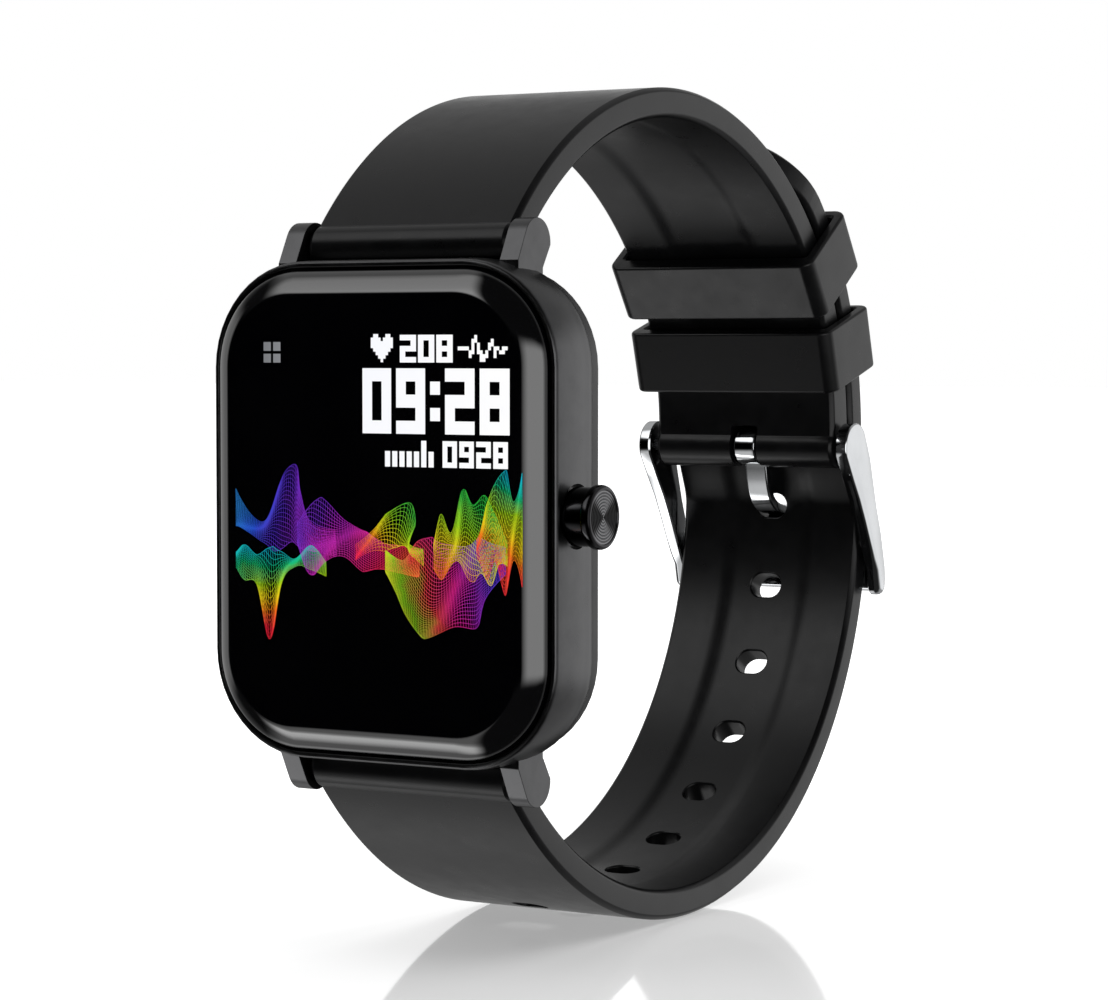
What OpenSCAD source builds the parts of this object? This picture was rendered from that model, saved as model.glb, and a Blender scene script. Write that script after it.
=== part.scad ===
// Square smartwatch with a buckled silicone strap.
// +X is the crown side, +Y points out of the case back, +Z is towards 12 o'clock.
// The origin is the centre of the sensor window's flat face, which rests on the wrist.

/* [Case] */
// Width of the case, without the crown
case_w = 34.8; // [32:0.2:40]
// Height of the case, without the lugs
case_h = 42.8; // [40:0.2:50]
// Corner radius of the case outline
case_r = 9.2; // [8:0.2:11]
// Depth of the middle frame
frame_depth = 6.65; // [6.6:0.05:9]
// Thickness of the side walls
wall = 1.6; // [1.4:0.1:2]
// Thickness of the rear cover
cover_t = 1.7; // [1.6:0.1:2.2]
// Step of the sensor window above the rear cover
window_step = 0.9; // [0.6:0.1:1.4]
// Radius of the sensor window
window_r = 8; // [7.5:0.1:9]
// Height of the curved glass above the frame rim
glass_rise = 1.65; // [1.2:0.05:2]
// Gap between the glass edge and the frame rim
glass_gap = 0.2; // [0.1:0.05:0.3]

/* [Lugs] */
// Strap width that the lugs take
lug_gap = 20.6; // [20.5:0.1:22.6]
// Thickness of one lug
lug_t = 1.85; // [1.6:0.05:2.4]
// Depth of the spring bar axis behind the case back plane
lug_y = 3.65; // [3.4:0.05:4]
// Distance of the spring bar axis from the case centre
lug_z = 22.7; // [22.6:0.05:23]
// Radius of the rounded lug end
lug_r = 2.1; // [1.9:0.05:2.3]

/* [Crown] */
// Radius of the crown cap
crown_r = 2.68; // [2.2:0.02:3]
// Distance from the case centre to the crown's outer face
crown_reach = 20; // [19.6:0.1:21]
// Height of the crown axis in front of the case back plane
crown_y = 6.1; // [5.8:0.1:6.4]
// Travel of the crown when it is pressed
crown_travel = 0.4; // [0.2:0.05:0.4]

/* [Strap] */
// Width of the strap
strap_w = 20.2; // [19.6:0.1:20.2]
// Thickness of the strap near the lugs and at its holes
strap_t = 2.75; // [2.5:0.05:3]
// Thickness of the short strap at its buckle end
buckle_end_t = 4.2; // [3.8:0.1:4.4]
// Angle at which the strap leaves the lugs
strap_start = 50.6; // [49:0.1:52]
// Radius of the upper strap over the wrist
upper_r = 37.1; // [36:0.1:38]
// Radius of the upper strap near the buckle
buckle_end_r = 28.5; // [28:0.1:30]
// Radius of the lower strap under the wrist
lower_r = 40.2; // [40:0.1:41]
// Radius of the lower strap near the buckle
tail_start_r = 36.2; // [36:0.1:37]
// Distance between two strap holes
hole_pitch = 8.6; // [8:0.1:8.7]
// Number of strap holes from the one that the tang is in
hole_count = 9; // [7:1:9]
// Length and width of one oval strap hole
hole_size = [3.4, 2.5]; // [2:0.1:4]

/* [Keepers] */
// Length of a keeper along the strap
keeper_l = 6.3; // [5:0.1:6.4]
// Wall of a keeper on the wrist side
keeper_inner_wall = 1.7; // [1.2:0.1:2]
// Wall of a keeper on its outer side and its edges
keeper_wall = 1.1; // [1:0.1:1.4]

/* [Buckle] */
// Thickness of a buckle side plate
plate_t = 1.3; // [1:0.1:1.6]
// Radius of the plate's round end about the pin
plate_r = 2.5; // [2.3:0.1:2.7]
// Thickness of the crossbar
crossbar_t = 1.2; // [1:0.1:1.4]
// Length of the crossbar's side that lies along the strap
crossbar_l = 5.4; // [4.8:0.1:5.6]
// Width of the tang
tang_w = 2.4; // [2:0.1:2.6]

/* [Hidden] */
$fn = 64;
e = 0.01;

// Depth planes of the case, from its back to its front
cover_back = -window_step;
frame_back = cover_back - cover_t;
frame_front = frame_back - frame_depth;
ledge_front = frame_front + 0.95;
ledge_back = ledge_front + 0.5;
gasket_front = ledge_front - 0.25;
panel_back = ledge_front + 0.45;
tray_front = ledge_front + 1;
tray_back = tray_front + 0.5;
board_back = tray_back + 0.8;

// Parts inside the case
panel = [28.8, 35.6, 5.8];
chip_t = 0.8;
small_chip_t = 0.6;
battery_t = 2.9;
battery_at = [-3, -6.8];
sheet = 0.15;
cavity_w = case_w - 2 * wall;
cavity_h = case_h - 2 * wall;
cavity_r = case_r - wall;
rim_w = 0.65;
glass_w = case_w - 2 * (rim_w + glass_gap);
glass_h = case_h - 2 * (rim_w + glass_gap);
glass_r = case_r - rim_w - glass_gap;
cover_inset = 0.7;
gasket_inset = 1;
window_sink = 0.9;
screw_at = [13, 17];
screw_r = 0.5;
head_r = 1;
head_sink = 0.7;
boss_r = 1.5;

// Spring bars
tube_r = 0.75;
tube_l = lug_gap - 1;
bar_pin_r = 0.45;
bar_pin_bore = 0.5;
bar_pin_in = 6.8;
bar_pin_out = lug_gap / 2 + 0.6;
knuckle_r = 1.75;
running = 0.05;
open_pivot = 0.2;

// Strap centre lines, as poses of [y, z, heading, thickness]
steps = 14;
flex_gap = 0.3;
upper_front_turn = -55;
upper_mid_turn = -38.9;
upper_end_turn = -49.8;
lower_front_turn = 64.4;
lower_mid_turn = 5.5;
lower_end_turn = 68.6;
upper_start = [-lug_y, lug_z, strap_start, strap_t];
lower_start = [-lug_y, -lug_z, -strap_start - 0.1, strap_t];
mid_t = strap_t + 0.8;
tail_gap = 0.4;
tail_offset = tail_gap + strap_t / 2;

function forward(p) = [cos(p[2]), sin(p[2])];
function normal(p) = [-sin(p[2]), cos(p[2])];
function beside(p, d) = [p[0], p[1]] + d * normal(p);
// Pose after a turn of the path on a radius, ending with thickness t
function turned(p, r, turn, t) =
    let (s = sign(turn) * r, h = p[2] + turn)
    [p[0] + s * (sin(h) - sin(p[2])), p[1] - s * (cos(h) - cos(p[2])), h, t];
function arc_path(p, r, turn, t, n = steps) =
    [for (k = [0:n]) turned(p, r, turn * k / n, p[3] + (t - p[3]) * k / n)];
// Closed outline of a strap that follows a list of poses
function outline(path) = concat(
    [for (p = path) beside(p, p[3] / 2)],
    [for (k = [len(path) - 1:-1:0]) beside(path[k], -path[k][3] / 2)]
);
function reversed(path) = [for (k = [len(path) - 1:-1:0]) path[k]];
// Pose facing the other way, on the outer side of the upper strap
function outside(p) = let (q = beside(p, p[3] / 2 + tail_offset)) [q[0], q[1], p[2] + 180, strap_t];
// Smooth bridge between two poses
function mix(a, b, u) = a + (b - a) * u;
function bridge_point(a, b, c, d, u) =
    mix(mix(mix(a, b, u), mix(b, c, u), u), mix(mix(b, c, u), mix(c, d, u), u), u);
function bridge(p, q, n = 8) =
    let (a = [p[0], p[1]], d = [q[0], q[1]], reach = norm(d - a) / 3,
         b = a + reach * forward(p), c = d - reach * forward(q))
    [for (k = [1:n - 1])
        let (u = k / n, here = bridge_point(a, b, c, d, u), next = bridge_point(a, b, c, d, u + e))
        [here[0], here[1], atan2(next[1] - here[1], next[0] - here[0]), p[3]]];
function degrees(length, r) = length / r * 180 / PI;

flex_turn_upper = degrees(flex_gap / 2, upper_r);
flex_turn_lower = degrees(flex_gap / 2, lower_r);
upper_front_path = arc_path(upper_start, upper_r, upper_front_turn + flex_turn_upper, strap_t);
upper_rear_start = turned(upper_start, upper_r, upper_front_turn - flex_turn_upper, strap_t);
upper_mid_path = arc_path(upper_rear_start, upper_r, upper_mid_turn + flex_turn_upper, mid_t);
upper_mid_end = upper_mid_path[steps];
upper_end_path = arc_path(upper_mid_end, buckle_end_r, upper_end_turn, buckle_end_t);
pin_pose = upper_end_path[steps];

lower_front_path = arc_path(lower_start, lower_r, lower_front_turn - flex_turn_lower, strap_t);
lower_rear_start = turned(lower_start, lower_r, lower_front_turn + flex_turn_lower, strap_t);
lower_mid_path = arc_path(lower_rear_start, lower_r, lower_mid_turn - flex_turn_lower, strap_t, 2);
lower_mid_end = lower_mid_path[2];
lower_end_path = arc_path(lower_mid_end, tail_start_r, lower_end_turn, strap_t, 2 * steps);
tang_hole = lower_end_path[2 * steps];
tail_tip_turn = -81.3;
tail_inner_path = arc_path(
    turned(upper_start, upper_r, tail_tip_turn, strap_t + 0.3), upper_r,
    upper_front_turn + upper_mid_turn - tail_tip_turn, mid_t);
tail_path = [for (p = reversed(concat(tail_inner_path, upper_end_path))) outside(p)];
tail_tip = tail_path[len(tail_path) - 1];
lower_rear_path = concat(lower_mid_path, lower_end_path, bridge(tang_hole, tail_path[0]), tail_path);

// Pose of hole number k, counted from the tang towards the lug
function hole_pose(k) =
    let (over = lower_end_turn - degrees(k * hole_pitch, tail_start_r))
    over >= 0
        ? turned(lower_mid_end, tail_start_r, over, strap_t)
        : turned(lower_start, lower_r,
                 lower_front_turn + lower_mid_turn + over * tail_start_r / lower_r, strap_t);

holes_behind_flex = 6;

// Keepers stand square to the upper strap, at these turns along its buckle end
free_keeper_turn = -12.2;
fixed_keeper_turn = -30.2;
keeper_clear = 0.35;
keeper_side_clear = 0.2;
keeper_corner = 1.2;

// Buckle, measured from its pin
pin_y = pin_pose[0];
pin_z = pin_pose[1];
pin_r = 0.75;
plate_inner = strap_w / 2 + 0.5;
plate_outer = plate_inner + plate_t;
pin_end = plate_outer - 0.35;
crossbar_back = degrees(5.6, tail_start_r);
crossbar_pose = turned(lower_mid_end, tail_start_r, lower_end_turn - crossbar_back, strap_t);
crossbar_at = beside(crossbar_pose, -(strap_t / 2 + 0.25 + crossbar_t / 2));
tang_t = 1;
tang_ring = 2;

// ---------- shared shapes ----------
module rrect(w, h, r) {
    square([w - 2 * r, h], center = true);
    square([w, h - 2 * r], center = true);
    for (x = [-1, 1], z = [-1, 1]) translate([x * (w / 2 - r), z * (h / 2 - r)]) circle(r);
}
// Flat plate between two depths, from an outline drawn in X and Z
module plate(y0, y1) {
    translate([0, y1, 0]) rotate([90, 0, 0]) linear_extrude(y1 - y0) children();
}
// Bar along X from an outline drawn in Y and Z
module along_x(w) {
    rotate([90, 0, 90]) linear_extrude(w, center = true) children();
}
// Round rod along X between two places
module rod_x(x0, x1, r) {
    translate([x0, 0, 0]) rotate([0, 90, 0]) cylinder(x1 - x0, r, r);
}
module block(x, y, z) {
    translate([x[0], y[0], z[0]]) cube([x[1] - x[0], y[1] - y[0], z[1] - z[0]]);
}
module at_pose(p) {
    translate([0, p[0], p[1]]) rotate([p[2], 0, 0]) children();
}
// Flat line of even width with round joints, through points in one plane
module chain(points, w) {
    for (k = [0:len(points) - 2])
        let (a = points[k], b = points[k + 1])
            translate(a) rotate(atan2(b[1] - a[1], b[0] - a[0]))
                translate([0, -w / 2]) square([norm(b - a), w]);
    for (p = points) translate(p) circle(w / 2);
}
module outline_ring(w, h, r, band) {
    difference() {
        rrect(w, h, r);
        rrect(w - 2 * band, h - 2 * band, r - band);
    }
}
module at_lug(side) {
    translate([0, -lug_y, side * lug_z]) children();
}

// ---------- case ----------
module lug_outline() {
    foot = [frame_front + 2.45, case_h / 2 - 0.2];
    reach = [-lug_y - foot[0], lug_z - foot[1]];
    slope = atan2(reach[1], reach[0]) + asin(lug_r / norm(reach));
    touch = [-lug_y - lug_r * sin(slope), lug_z + lug_r * cos(slope)];
    polygon([foot, touch, [-lug_y, lug_z], [-lug_y + lug_r, lug_z],
             [frame_back, case_h / 2 - 0.8], [frame_back, case_h / 2 - 2],
             [foot[0], case_h / 2 - 2]]);
    translate([-lug_y, lug_z]) circle(lug_r);
}
// Rear edge of the frame, rounded off in one direction
module rounded_side(half) {
    edge = 1.8;
    drop = 0.55;
    polygon(concat(
        [[frame_front, half], [frame_front, -half]],
        [for (k = [0:6]) [frame_back - edge * (1 - sin(15 * k)), -half + drop * (1 - cos(15 * k))]],
        [for (k = [6:-1:0]) [frame_back - edge * (1 - sin(15 * k)), half - drop * (1 - cos(15 * k))]]
    ));
}
module case_frame() {
    color("#2b2c2e") difference() {
        union() {
            intersection() {
                plate(frame_front, frame_back) rrect(case_w, case_h, case_r);
                along_x(case_w + 1) rounded_side(case_h / 2);
                rotate([0, 90, 0]) along_x(case_h + 1) rounded_side(case_w / 2);
            }
            for (side = [-1, 1], x = [-1, 1])
                translate([x * (lug_gap + lug_t) / 2, 0, 0]) mirror([0, 0, (1 - side) / 2])
                    along_x(lug_t) lug_outline();
        }
        difference() {
            plate(ledge_back, frame_back + e) rrect(cavity_w, cavity_h, cavity_r);
            at_screws() plate(frame_back - 2.4, frame_back) circle(boss_r);
        }
        plate(frame_front - e, ledge_front)
            rrect(case_w - 2 * rim_w, case_h - 2 * rim_w, case_r - rim_w);
        plate(ledge_front - e, ledge_back + e) rrect(case_w - 5.2, case_h - 5.2, case_r - 2.6);
        at_screws() plate(frame_back - 2, frame_back + e) circle(screw_r + running);
        for (side = [-1, 1]) at_lug(side) {
            rod_x(-lug_gap / 2, lug_gap / 2, knuckle_r + 0.25);
            rod_x(-lug_gap / 2 - 1.1, lug_gap / 2 + 1.1, bar_pin_bore);
        }
        translate([0, -crown_y, 0]) {
            rod_x(cavity_w / 2 - 1, case_w / 2 + 1, stem_r + running);
            rod_x(case_w / 2 - 0.7, case_w / 2 + 1, crown_r + 0.1);
        }
    }
}
module glass() {
    rise = glass_rise - 0.35;
    rings = 5;
    curve = 3.2;
    color("#060607") hull() for (k = [0:rings])
        let (u = 90 * k / rings,
             inset = curve * (1 - cos(u)),
             y = frame_front + 0.3 - rise * sin(u) - 0.65 * k / rings)
            plate(y, y + 0.05)
                rrect(glass_w - 2 * inset, glass_h - 2 * inset, glass_r - inset * 0.8, $fn = 48);
    color("#060607") plate(frame_front + 0.34, gasket_front) rrect(glass_w, glass_h, glass_r);
}
module glass_gasket() {
    color("#111111") plate(gasket_front, ledge_front)
        outline_ring(glass_w, glass_h, glass_r, 1.6);
}
module display_panel() {
    color("#101418") plate(gasket_front, panel_back) rrect(panel[0], panel[1], panel[2]);
}
module backlight() {
    color("#e8e8e2") plate(panel_back, panel_back + 0.5) rrect(panel[0] - 0.4, panel[1] - 1, panel[2] - 0.2);
}
module display_flex() {
    film = 0.14;
    y0 = ledge_front + 0.1;
    y1 = board_back + film / 2;
    color("#b8742a") along_x(8)
        chain([[y0, 17.9], [y0, 18.4], [y1, 18.4], [y1, 13.6]], film);
}
module chassis() {
    color("#3a3a3c") difference() {
        plate(tray_front, tray_back) rrect(cavity_w - 0.3, cavity_h - 0.3, cavity_r - 0.15);
        block([-5, 5], [tray_front - 1, tray_back + 1], [17.5, 19.2]);
        block([9, cavity_w / 2 + 1], [tray_front - 1, tray_back + 1], [-3.4, 3.4]);
        block([-10, 4], [tray_front - 1, tray_back + 1], [-13, -1]);
    }
}
module main_board() {
    color("#12462e") plate(tray_back, board_back) difference() {
        translate([0, 9]) square([28, 11], center = true);
        for (x = [-1, 1]) translate([x * 12.6, 13]) circle(0.6);
    }
}
module processor() {
    color("#1b1b1d") plate(board_back, board_back + chip_t) translate([-5, 8.6]) square(5, center = true);
}
module board_chips() {
    // Each chip as its place in X and Z, then its width and height
    chips = [[-10.5, 10.4, 2.6, 2.6], [-10.8, 6.2, 3, 1.8], [0.4, 6, 2, 2], [0.4, 10.6, 1.6, 2.4]];
    capacitor = [0.6, 0.35];
    color("#1b1b1d") plate(board_back, board_back + small_chip_t)
        for (p = chips) translate([p[0], p[1]]) square([p[2], p[3]], center = true);
    color("#8a6a4a") plate(board_back, board_back + capacitor[1])
        for (k = [0:6]) translate([-7.5 + 1.3 * k, 12.7]) square(capacitor, center = true);
}
module shield_can() {
    size = [7, 1.1, 7.4];
    color("#b9bbbd") translate([4, board_back, 5]) difference() {
        cube(size);
        translate([sheet, -sheet, sheet]) cube(size - [2 * sheet, 0, 2 * sheet]);
    }
}
module crystal() {
    color("#d0d0d0") plate(board_back, board_back + 0.5)
        translate([-1.6, 4.4]) square([2.5, 1], center = true);
}
module battery() {
    color("#6d7176") plate(tray_back, tray_back + battery_t) translate(battery_at) rrect(22, 16.6, 1.2);
}
module battery_lead() {
    color("#a01818") for (x = [-9.2, -8])
        translate([x, tray_back + 1.1, 1.5]) cylinder(2, 0.3, 0.3);
}
motor_at = [12.1, 0, -8.6];
motor_back = tray_back + 2.2;
motor_r = 3.5;
motor_skin = 0.2;
shaft_r = 0.4;
module motor_can() {
    color("#c4c6c8") translate(motor_at) {
        plate(tray_back, tray_back + motor_skin) circle(motor_r);
        plate(motor_back - motor_skin, motor_back) circle(motor_r);
        plate(tray_back + motor_skin / 2, motor_back - motor_skin / 2) {
            difference() {
                circle(motor_r);
                circle(motor_r - motor_skin);
            }
            circle(shaft_r);
        }
    }
}
module motor_rotor() {
    swing = motor_r - 0.5;
    color("#8d7a5a") translate(motor_at) plate(tray_back + 2 * motor_skin, motor_back - 2 * motor_skin)
        difference() {
            union() {
                circle(1.1);
                intersection() {
                    circle(swing);
                    translate([-swing, -swing]) square([2 * swing, swing]);
                }
            }
            circle(shaft_r + running);
        }
}

// ---------- crown ----------
switch_face = 11.2;
plunger_end = 12.55;
clip_x = cavity_w / 2 - 0.5;
seal_x = cavity_w / 2 + 0.35;
stem_r = 0.9;
groove = 0.36;
groove_r = 0.62;
module crown_switch() {
    color("#d8d8d8") translate([0, -crown_y, 0]) {
        block([9.2, switch_face - 0.4], [-0.5, 1.6], [-1.5, 1.5]);
        rod_x(switch_face - 0.4 - e, switch_face, 0.7);
    }
}
module crown_plunger() {
    color("#c9c9c4") translate([0, -crown_y, 0]) rod_x(switch_face + crown_travel, plunger_end, 1.1);
}
module crown_stem() {
    color("#a9abad") translate([0, -crown_y, 0]) difference() {
        rod_x(plunger_end, case_w / 2 - 0.2, stem_r);
        for (x = [clip_x, seal_x]) difference() {
            rod_x(x, x + groove, stem_r + 0.3);
            rod_x(x - e, x + groove + e, groove_r);
        }
    }
}
module crown_cap() {
    face = crown_reach;
    base = case_w / 2 - 0.2;
    waist = crown_r - 0.2;
    color("#1a1b1c") translate([0, -crown_y, 0]) rotate([0, 90, 0]) rotate_extrude() polygon([
        [0, base], [waist - 0.15, base], [waist, base + 0.15], [waist, face - 0.9],
        [crown_r, face - 0.6], [crown_r, face - 0.25], [crown_r - 0.2, face], [crown_r - 0.45, face],
        [crown_r - 0.5, face - 0.08], [0, face - 0.08]]);
}
module crown_oring() {
    cord_r = 0.16;
    color("#b4282c") translate([seal_x + groove / 2, -crown_y, 0]) rotate([0, 90, 0])
        rotate_extrude() translate([groove_r + cord_r + e / 2, 0]) circle(cord_r, $fn = 24);
}
module crown_clip() {
    color("#9a9c9e") translate([0, -crown_y, 0]) difference() {
        rod_x(clip_x + running, clip_x + groove - running, 1.5);
        rod_x(clip_x, clip_x + 1, groove_r + 0.02);
        block([clip_x, clip_x + 1], [-0.55, 0.55], [0, 2]);
    }
}

// ---------- rear cover ----------
contact_at = [1.8, -14.6];
contact_r = 0.9;
magnet_at = [7.4, -14.6];
magnet_r = 2;
gasket_w = 0.35;
module at_screws() {
    for (x = [-1, 1], z = [-1, 1]) translate([x * screw_at[0], 0, z * screw_at[1]]) children();
}
module in_pairs(place) {
    for (x = [-1, 1]) translate([x * place[0], 0, place[1]]) children();
}
module rear_cover() {
    inset = 2 * cover_inset;
    color("#232426") difference() {
        union() {
            plate(frame_back, cover_back - 0.5) rrect(case_w - inset, case_h - inset, case_r - cover_inset);
            plate(cover_back - 0.5 - e, cover_back)
                rrect(case_w - inset - 0.9, case_h - inset - 0.9, case_r - cover_inset - 0.45);
            plate(frame_back - 0.8, frame_back + e) difference() {
                rrect(cavity_w - 0.3, cavity_h - 0.3, cavity_r - 0.15);
                rrect(cavity_w - 2.3, cavity_h - 2.3, cavity_r - 1.15);
                for (x = [-1, 1], z = [-1, 1])
                    translate([x * screw_at[0], z * screw_at[1]]) circle(boss_r + 0.4);
                translate([cavity_w / 2 - 1, 0]) square([4, 7], center = true);
            }
        }
        plate(frame_back - e, frame_back + gasket_w) outline_ring(
            case_w - 2 * gasket_inset, case_h - 2 * gasket_inset, case_r - gasket_inset, gasket_w + 0.1);
        plate(frame_back - 1, cover_back + e) circle(window_r - 1);
        plate(cover_back - window_sink, cover_back + e) circle(window_r);
        at_screws() {
            plate(frame_back - 1, cover_back + e) circle(screw_r + running);
            plate(cover_back - head_sink, cover_back + e) circle(head_r + 0.1);
        }
        in_pairs(contact_at) plate(frame_back - e, cover_back + e) circle(contact_r + running);
        in_pairs(magnet_at) plate(frame_back - e, frame_back + 1) circle(magnet_r + running);
    }
}
module rear_gasket() {
    inset = gasket_inset + running;
    color("#3f5a78") plate(frame_back, frame_back + gasket_w)
        outline_ring(case_w - 2 * inset, case_h - 2 * inset, case_r - inset, gasket_w);
}
module cover_screws() {
    slot = [1.2, 0.24];
    color("#77797b") at_screws() difference() {
        union() {
            plate(frame_back - 1.9, cover_back - head_sink + e) circle(screw_r);
            plate(cover_back - head_sink, cover_back - 0.1) circle(head_r);
        }
        plate(cover_back - 0.35, cover_back) for (a = [0, 90]) rotate(a) square(slot, center = true);
    }
}
module sensor_window() {
    color("#0a0a0c") translate([0, cover_back - window_sink, 0]) rotate([-90, 0, 0])
        rotate_extrude($fn = 96) polygon([
            [0, 0], [window_r - 0.03, 0], [window_r - 0.03, window_sink + 0.05],
            [window_r - 0.5, window_sink + 0.6 * window_step],
            [window_r - 1.3, window_sink + 0.93 * window_step],
            [window_r - 2.2, window_sink + window_step], [0, window_sink + window_step]]);
}
sensor_front = cover_back - 1.9;
sensor_back = sensor_front + 0.4;
module sensor_board() {
    color("#12462e") plate(sensor_front, sensor_back) circle(6.2);
}
module sensor_leds() {
    color("#d8f0c8") for (x = [-1, 1]) translate([x * 3.2, 0, 0])
        plate(sensor_back, sensor_back + 0.5) square([1.6, 2.2], center = true);
}
module photodiode() {
    color("#22242a") plate(sensor_back, sensor_back + 0.45) square(2.4, center = true);
}
module light_barrier() {
    color("#151515") for (x = [-1, 1]) translate([x * 1.85, 0, 0])
        plate(sensor_back, cover_back - window_sink - 0.05) square([0.4, 5], center = true);
}
module charging_contacts() {
    color("#d8b45a") in_pairs(contact_at) {
        plate(frame_back - 0.3, cover_back + 0.05) circle(contact_r);
        plate(frame_back - 0.4, frame_back - e) circle(contact_r + 0.25);
    }
}
module charging_magnets() {
    color("#8f9193") in_pairs(magnet_at) plate(frame_back + 0.05, frame_back + 0.95) circle(magnet_r);
}

// ---------- spring bars ----------
module bar_tube(side) {
    color("#b0b2b4") at_lug(side) difference() {
        rod_x(-tube_l / 2, tube_l / 2, tube_r);
        rod_x(-tube_l / 2 - 1, tube_l / 2 + 1, bar_pin_bore);
    }
}
module bar_spring(side) {
    half = bar_pin_in - 1.4;
    color("#8f8f92") at_lug(side) difference() {
        rod_x(-half, half, bar_pin_r - e);
        rod_x(-half - 1, half + 1, bar_pin_r - 0.19);
    }
}
module bar_pin(side, hand) {
    tip = 0.12;
    color("#c6c8ca") at_lug(side) mirror([(1 - hand) / 2, 0, 0]) {
        rod_x(bar_pin_in, bar_pin_out - tip, bar_pin_r);
        translate([bar_pin_out - tip, 0, 0]) rotate([0, 90, 0]) cylinder(tip, bar_pin_r, bar_pin_r - 0.1);
    }
}
module upper_bar_tube() { bar_tube(1); }
module lower_bar_tube() { bar_tube(-1); }
module upper_bar_spring() { bar_spring(1); }
module lower_bar_spring() { bar_spring(-1); }
module upper_bar_pin_left() { bar_pin(1, -1); }
module upper_bar_pin_right() { bar_pin(1, 1); }
module lower_bar_pin_left() { bar_pin(-1, -1); }
module lower_bar_pin_right() { bar_pin(-1, 1); }

// ---------- strap ----------
module strap_end(path, side, clear) {
    color("#26272a") difference() {
        union() {
            along_x(strap_w) polygon(outline(path));
            at_lug(side) rod_x(-strap_w / 2, strap_w / 2, knuckle_r);
        }
        at_lug(side) rod_x(-strap_w, strap_w, tube_r + clear);
    }
}
module upper_strap_front() { strap_end(upper_front_path, 1, running); }
module upper_strap_rear() {
    color("#26272a") difference() {
        union() {
            along_x(strap_w) polygon(outline(concat(upper_mid_path, upper_end_path)));
            translate([0, pin_y, pin_z]) rod_x(-strap_w / 2, strap_w / 2, buckle_end_t / 2);
        }
        translate([0, pin_y, pin_z]) rod_x(-strap_w, strap_w, pin_r + running);
        notch = tang_w / 2 + 0.3;
        block([-notch, notch], [pin_y - 4, pin_y + 4], [pin_z - 3, pin_z + tang_ring + 0.15]);
    }
}
module oval_hole() {
    spread = (hole_size[0] - hole_size[1]) / 2;
    linear_extrude(2 * strap_t, center = true) {
        square([2 * spread, hole_size[1]], center = true);
        for (x = [-1, 1]) translate([x * spread, 0]) circle(hole_size[1] / 2);
    }
}
// Rounds the strap's free end; the circle is no tangent to the strap's end or sides
module tip_cut() {
    r = strap_w / 2 + 0.3;
    back = 0.2;
    linear_extrude(3 * strap_t, center = true) difference() {
        translate([-r - 1, -0.8 * r]) square([2 * r + 2, 0.8 * r + 1]);
        translate([0, -r - back]) circle(r);
    }
}
// Holes numbered from a to b, counted from the tang towards the lug
module strap_holes(a, b) {
    for (k = [a:b]) at_pose(hole_pose(k)) oval_hole();
}
module lower_strap_front() {
    difference() {
        strap_end(lower_front_path, -1, open_pivot);
        strap_holes(holes_behind_flex, hole_count - 1);
    }
}
module lower_strap_tail() {
    color("#26272a") difference() {
        along_x(strap_w) polygon(outline(lower_rear_path));
        strap_holes(0, holes_behind_flex - 1);
        at_pose(tail_tip) tip_cut();
    }
}

// ---------- keepers ----------
module keeper(turn) {
    t = mix(mid_t, buckle_end_t, turn / upper_end_turn);
    low = -t / 2 - keeper_clear;
    high = t / 2 + tail_gap + strap_t + keeper_clear - 0.1;
    half = strap_w / 2 + keeper_side_clear;
    middle = (high + low) / 2;
    shift = (keeper_wall - keeper_inner_wall) / 2;
    color("#2d2e31") at_pose(turned(upper_mid_end, buckle_end_r, turn, t))
        translate([0, keeper_l / 2, 0]) rotate([90, 0, 0]) linear_extrude(keeper_l) difference() {
            translate([0, middle + shift])
                rrect(2 * (half + keeper_wall), high - low + keeper_wall + keeper_inner_wall, keeper_corner);
            translate([0, middle]) rrect(2 * half, high - low, 0.3);
        }
}
module free_keeper() { keeper(free_keeper_turn); }
module fixed_keeper() { keeper(fixed_keeper_turn); }

// ---------- buckle ----------
module crossbar_outline() {
    half = (crossbar_l - crossbar_t) / 2;
    translate(crossbar_at) rotate(crossbar_pose[2]) {
        square([2 * half, crossbar_t], center = true);
        for (s = [-1, 1]) translate([s * half, 0]) circle(crossbar_t / 2);
    }
}
module plate_outline() {
    pin = [pin_y, pin_z];
    reach = crossbar_at - pin;
    turn = atan2(reach[1], reach[0]);
    translate(pin) circle(plate_r);
    translate(pin) rotate(turn) polygon([[0, -plate_r], [5, -2], [norm(reach) - 3, -2.2],
        [norm(reach), -1.6], [norm(reach), 0.6], [norm(reach) - 3, 0.6], [5, 1.8], [0, plate_r]]);
    crossbar_outline();
    translate(crossbar_at) rotate(crossbar_pose[2])
        translate([-(crossbar_l - crossbar_t) / 2, 0]) square([crossbar_l - crossbar_t, 2.2]);
}
module buckle_frame() {
    color("#d9dbde") difference() {
        union() {
            for (x = [-1, 1]) translate([x * (plate_inner + plate_outer) / 2, 0, 0])
                along_x(plate_t) plate_outline();
            along_x(2 * plate_inner + 0.2) crossbar_outline();
        }
        translate([0, pin_y, pin_z]) rod_x(-pin_end, pin_end, pin_r);
    }
}
module buckle_pin() {
    color("#c6c8ca") translate([0, pin_y, pin_z]) rod_x(-pin_end, pin_end, pin_r);
}
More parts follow.
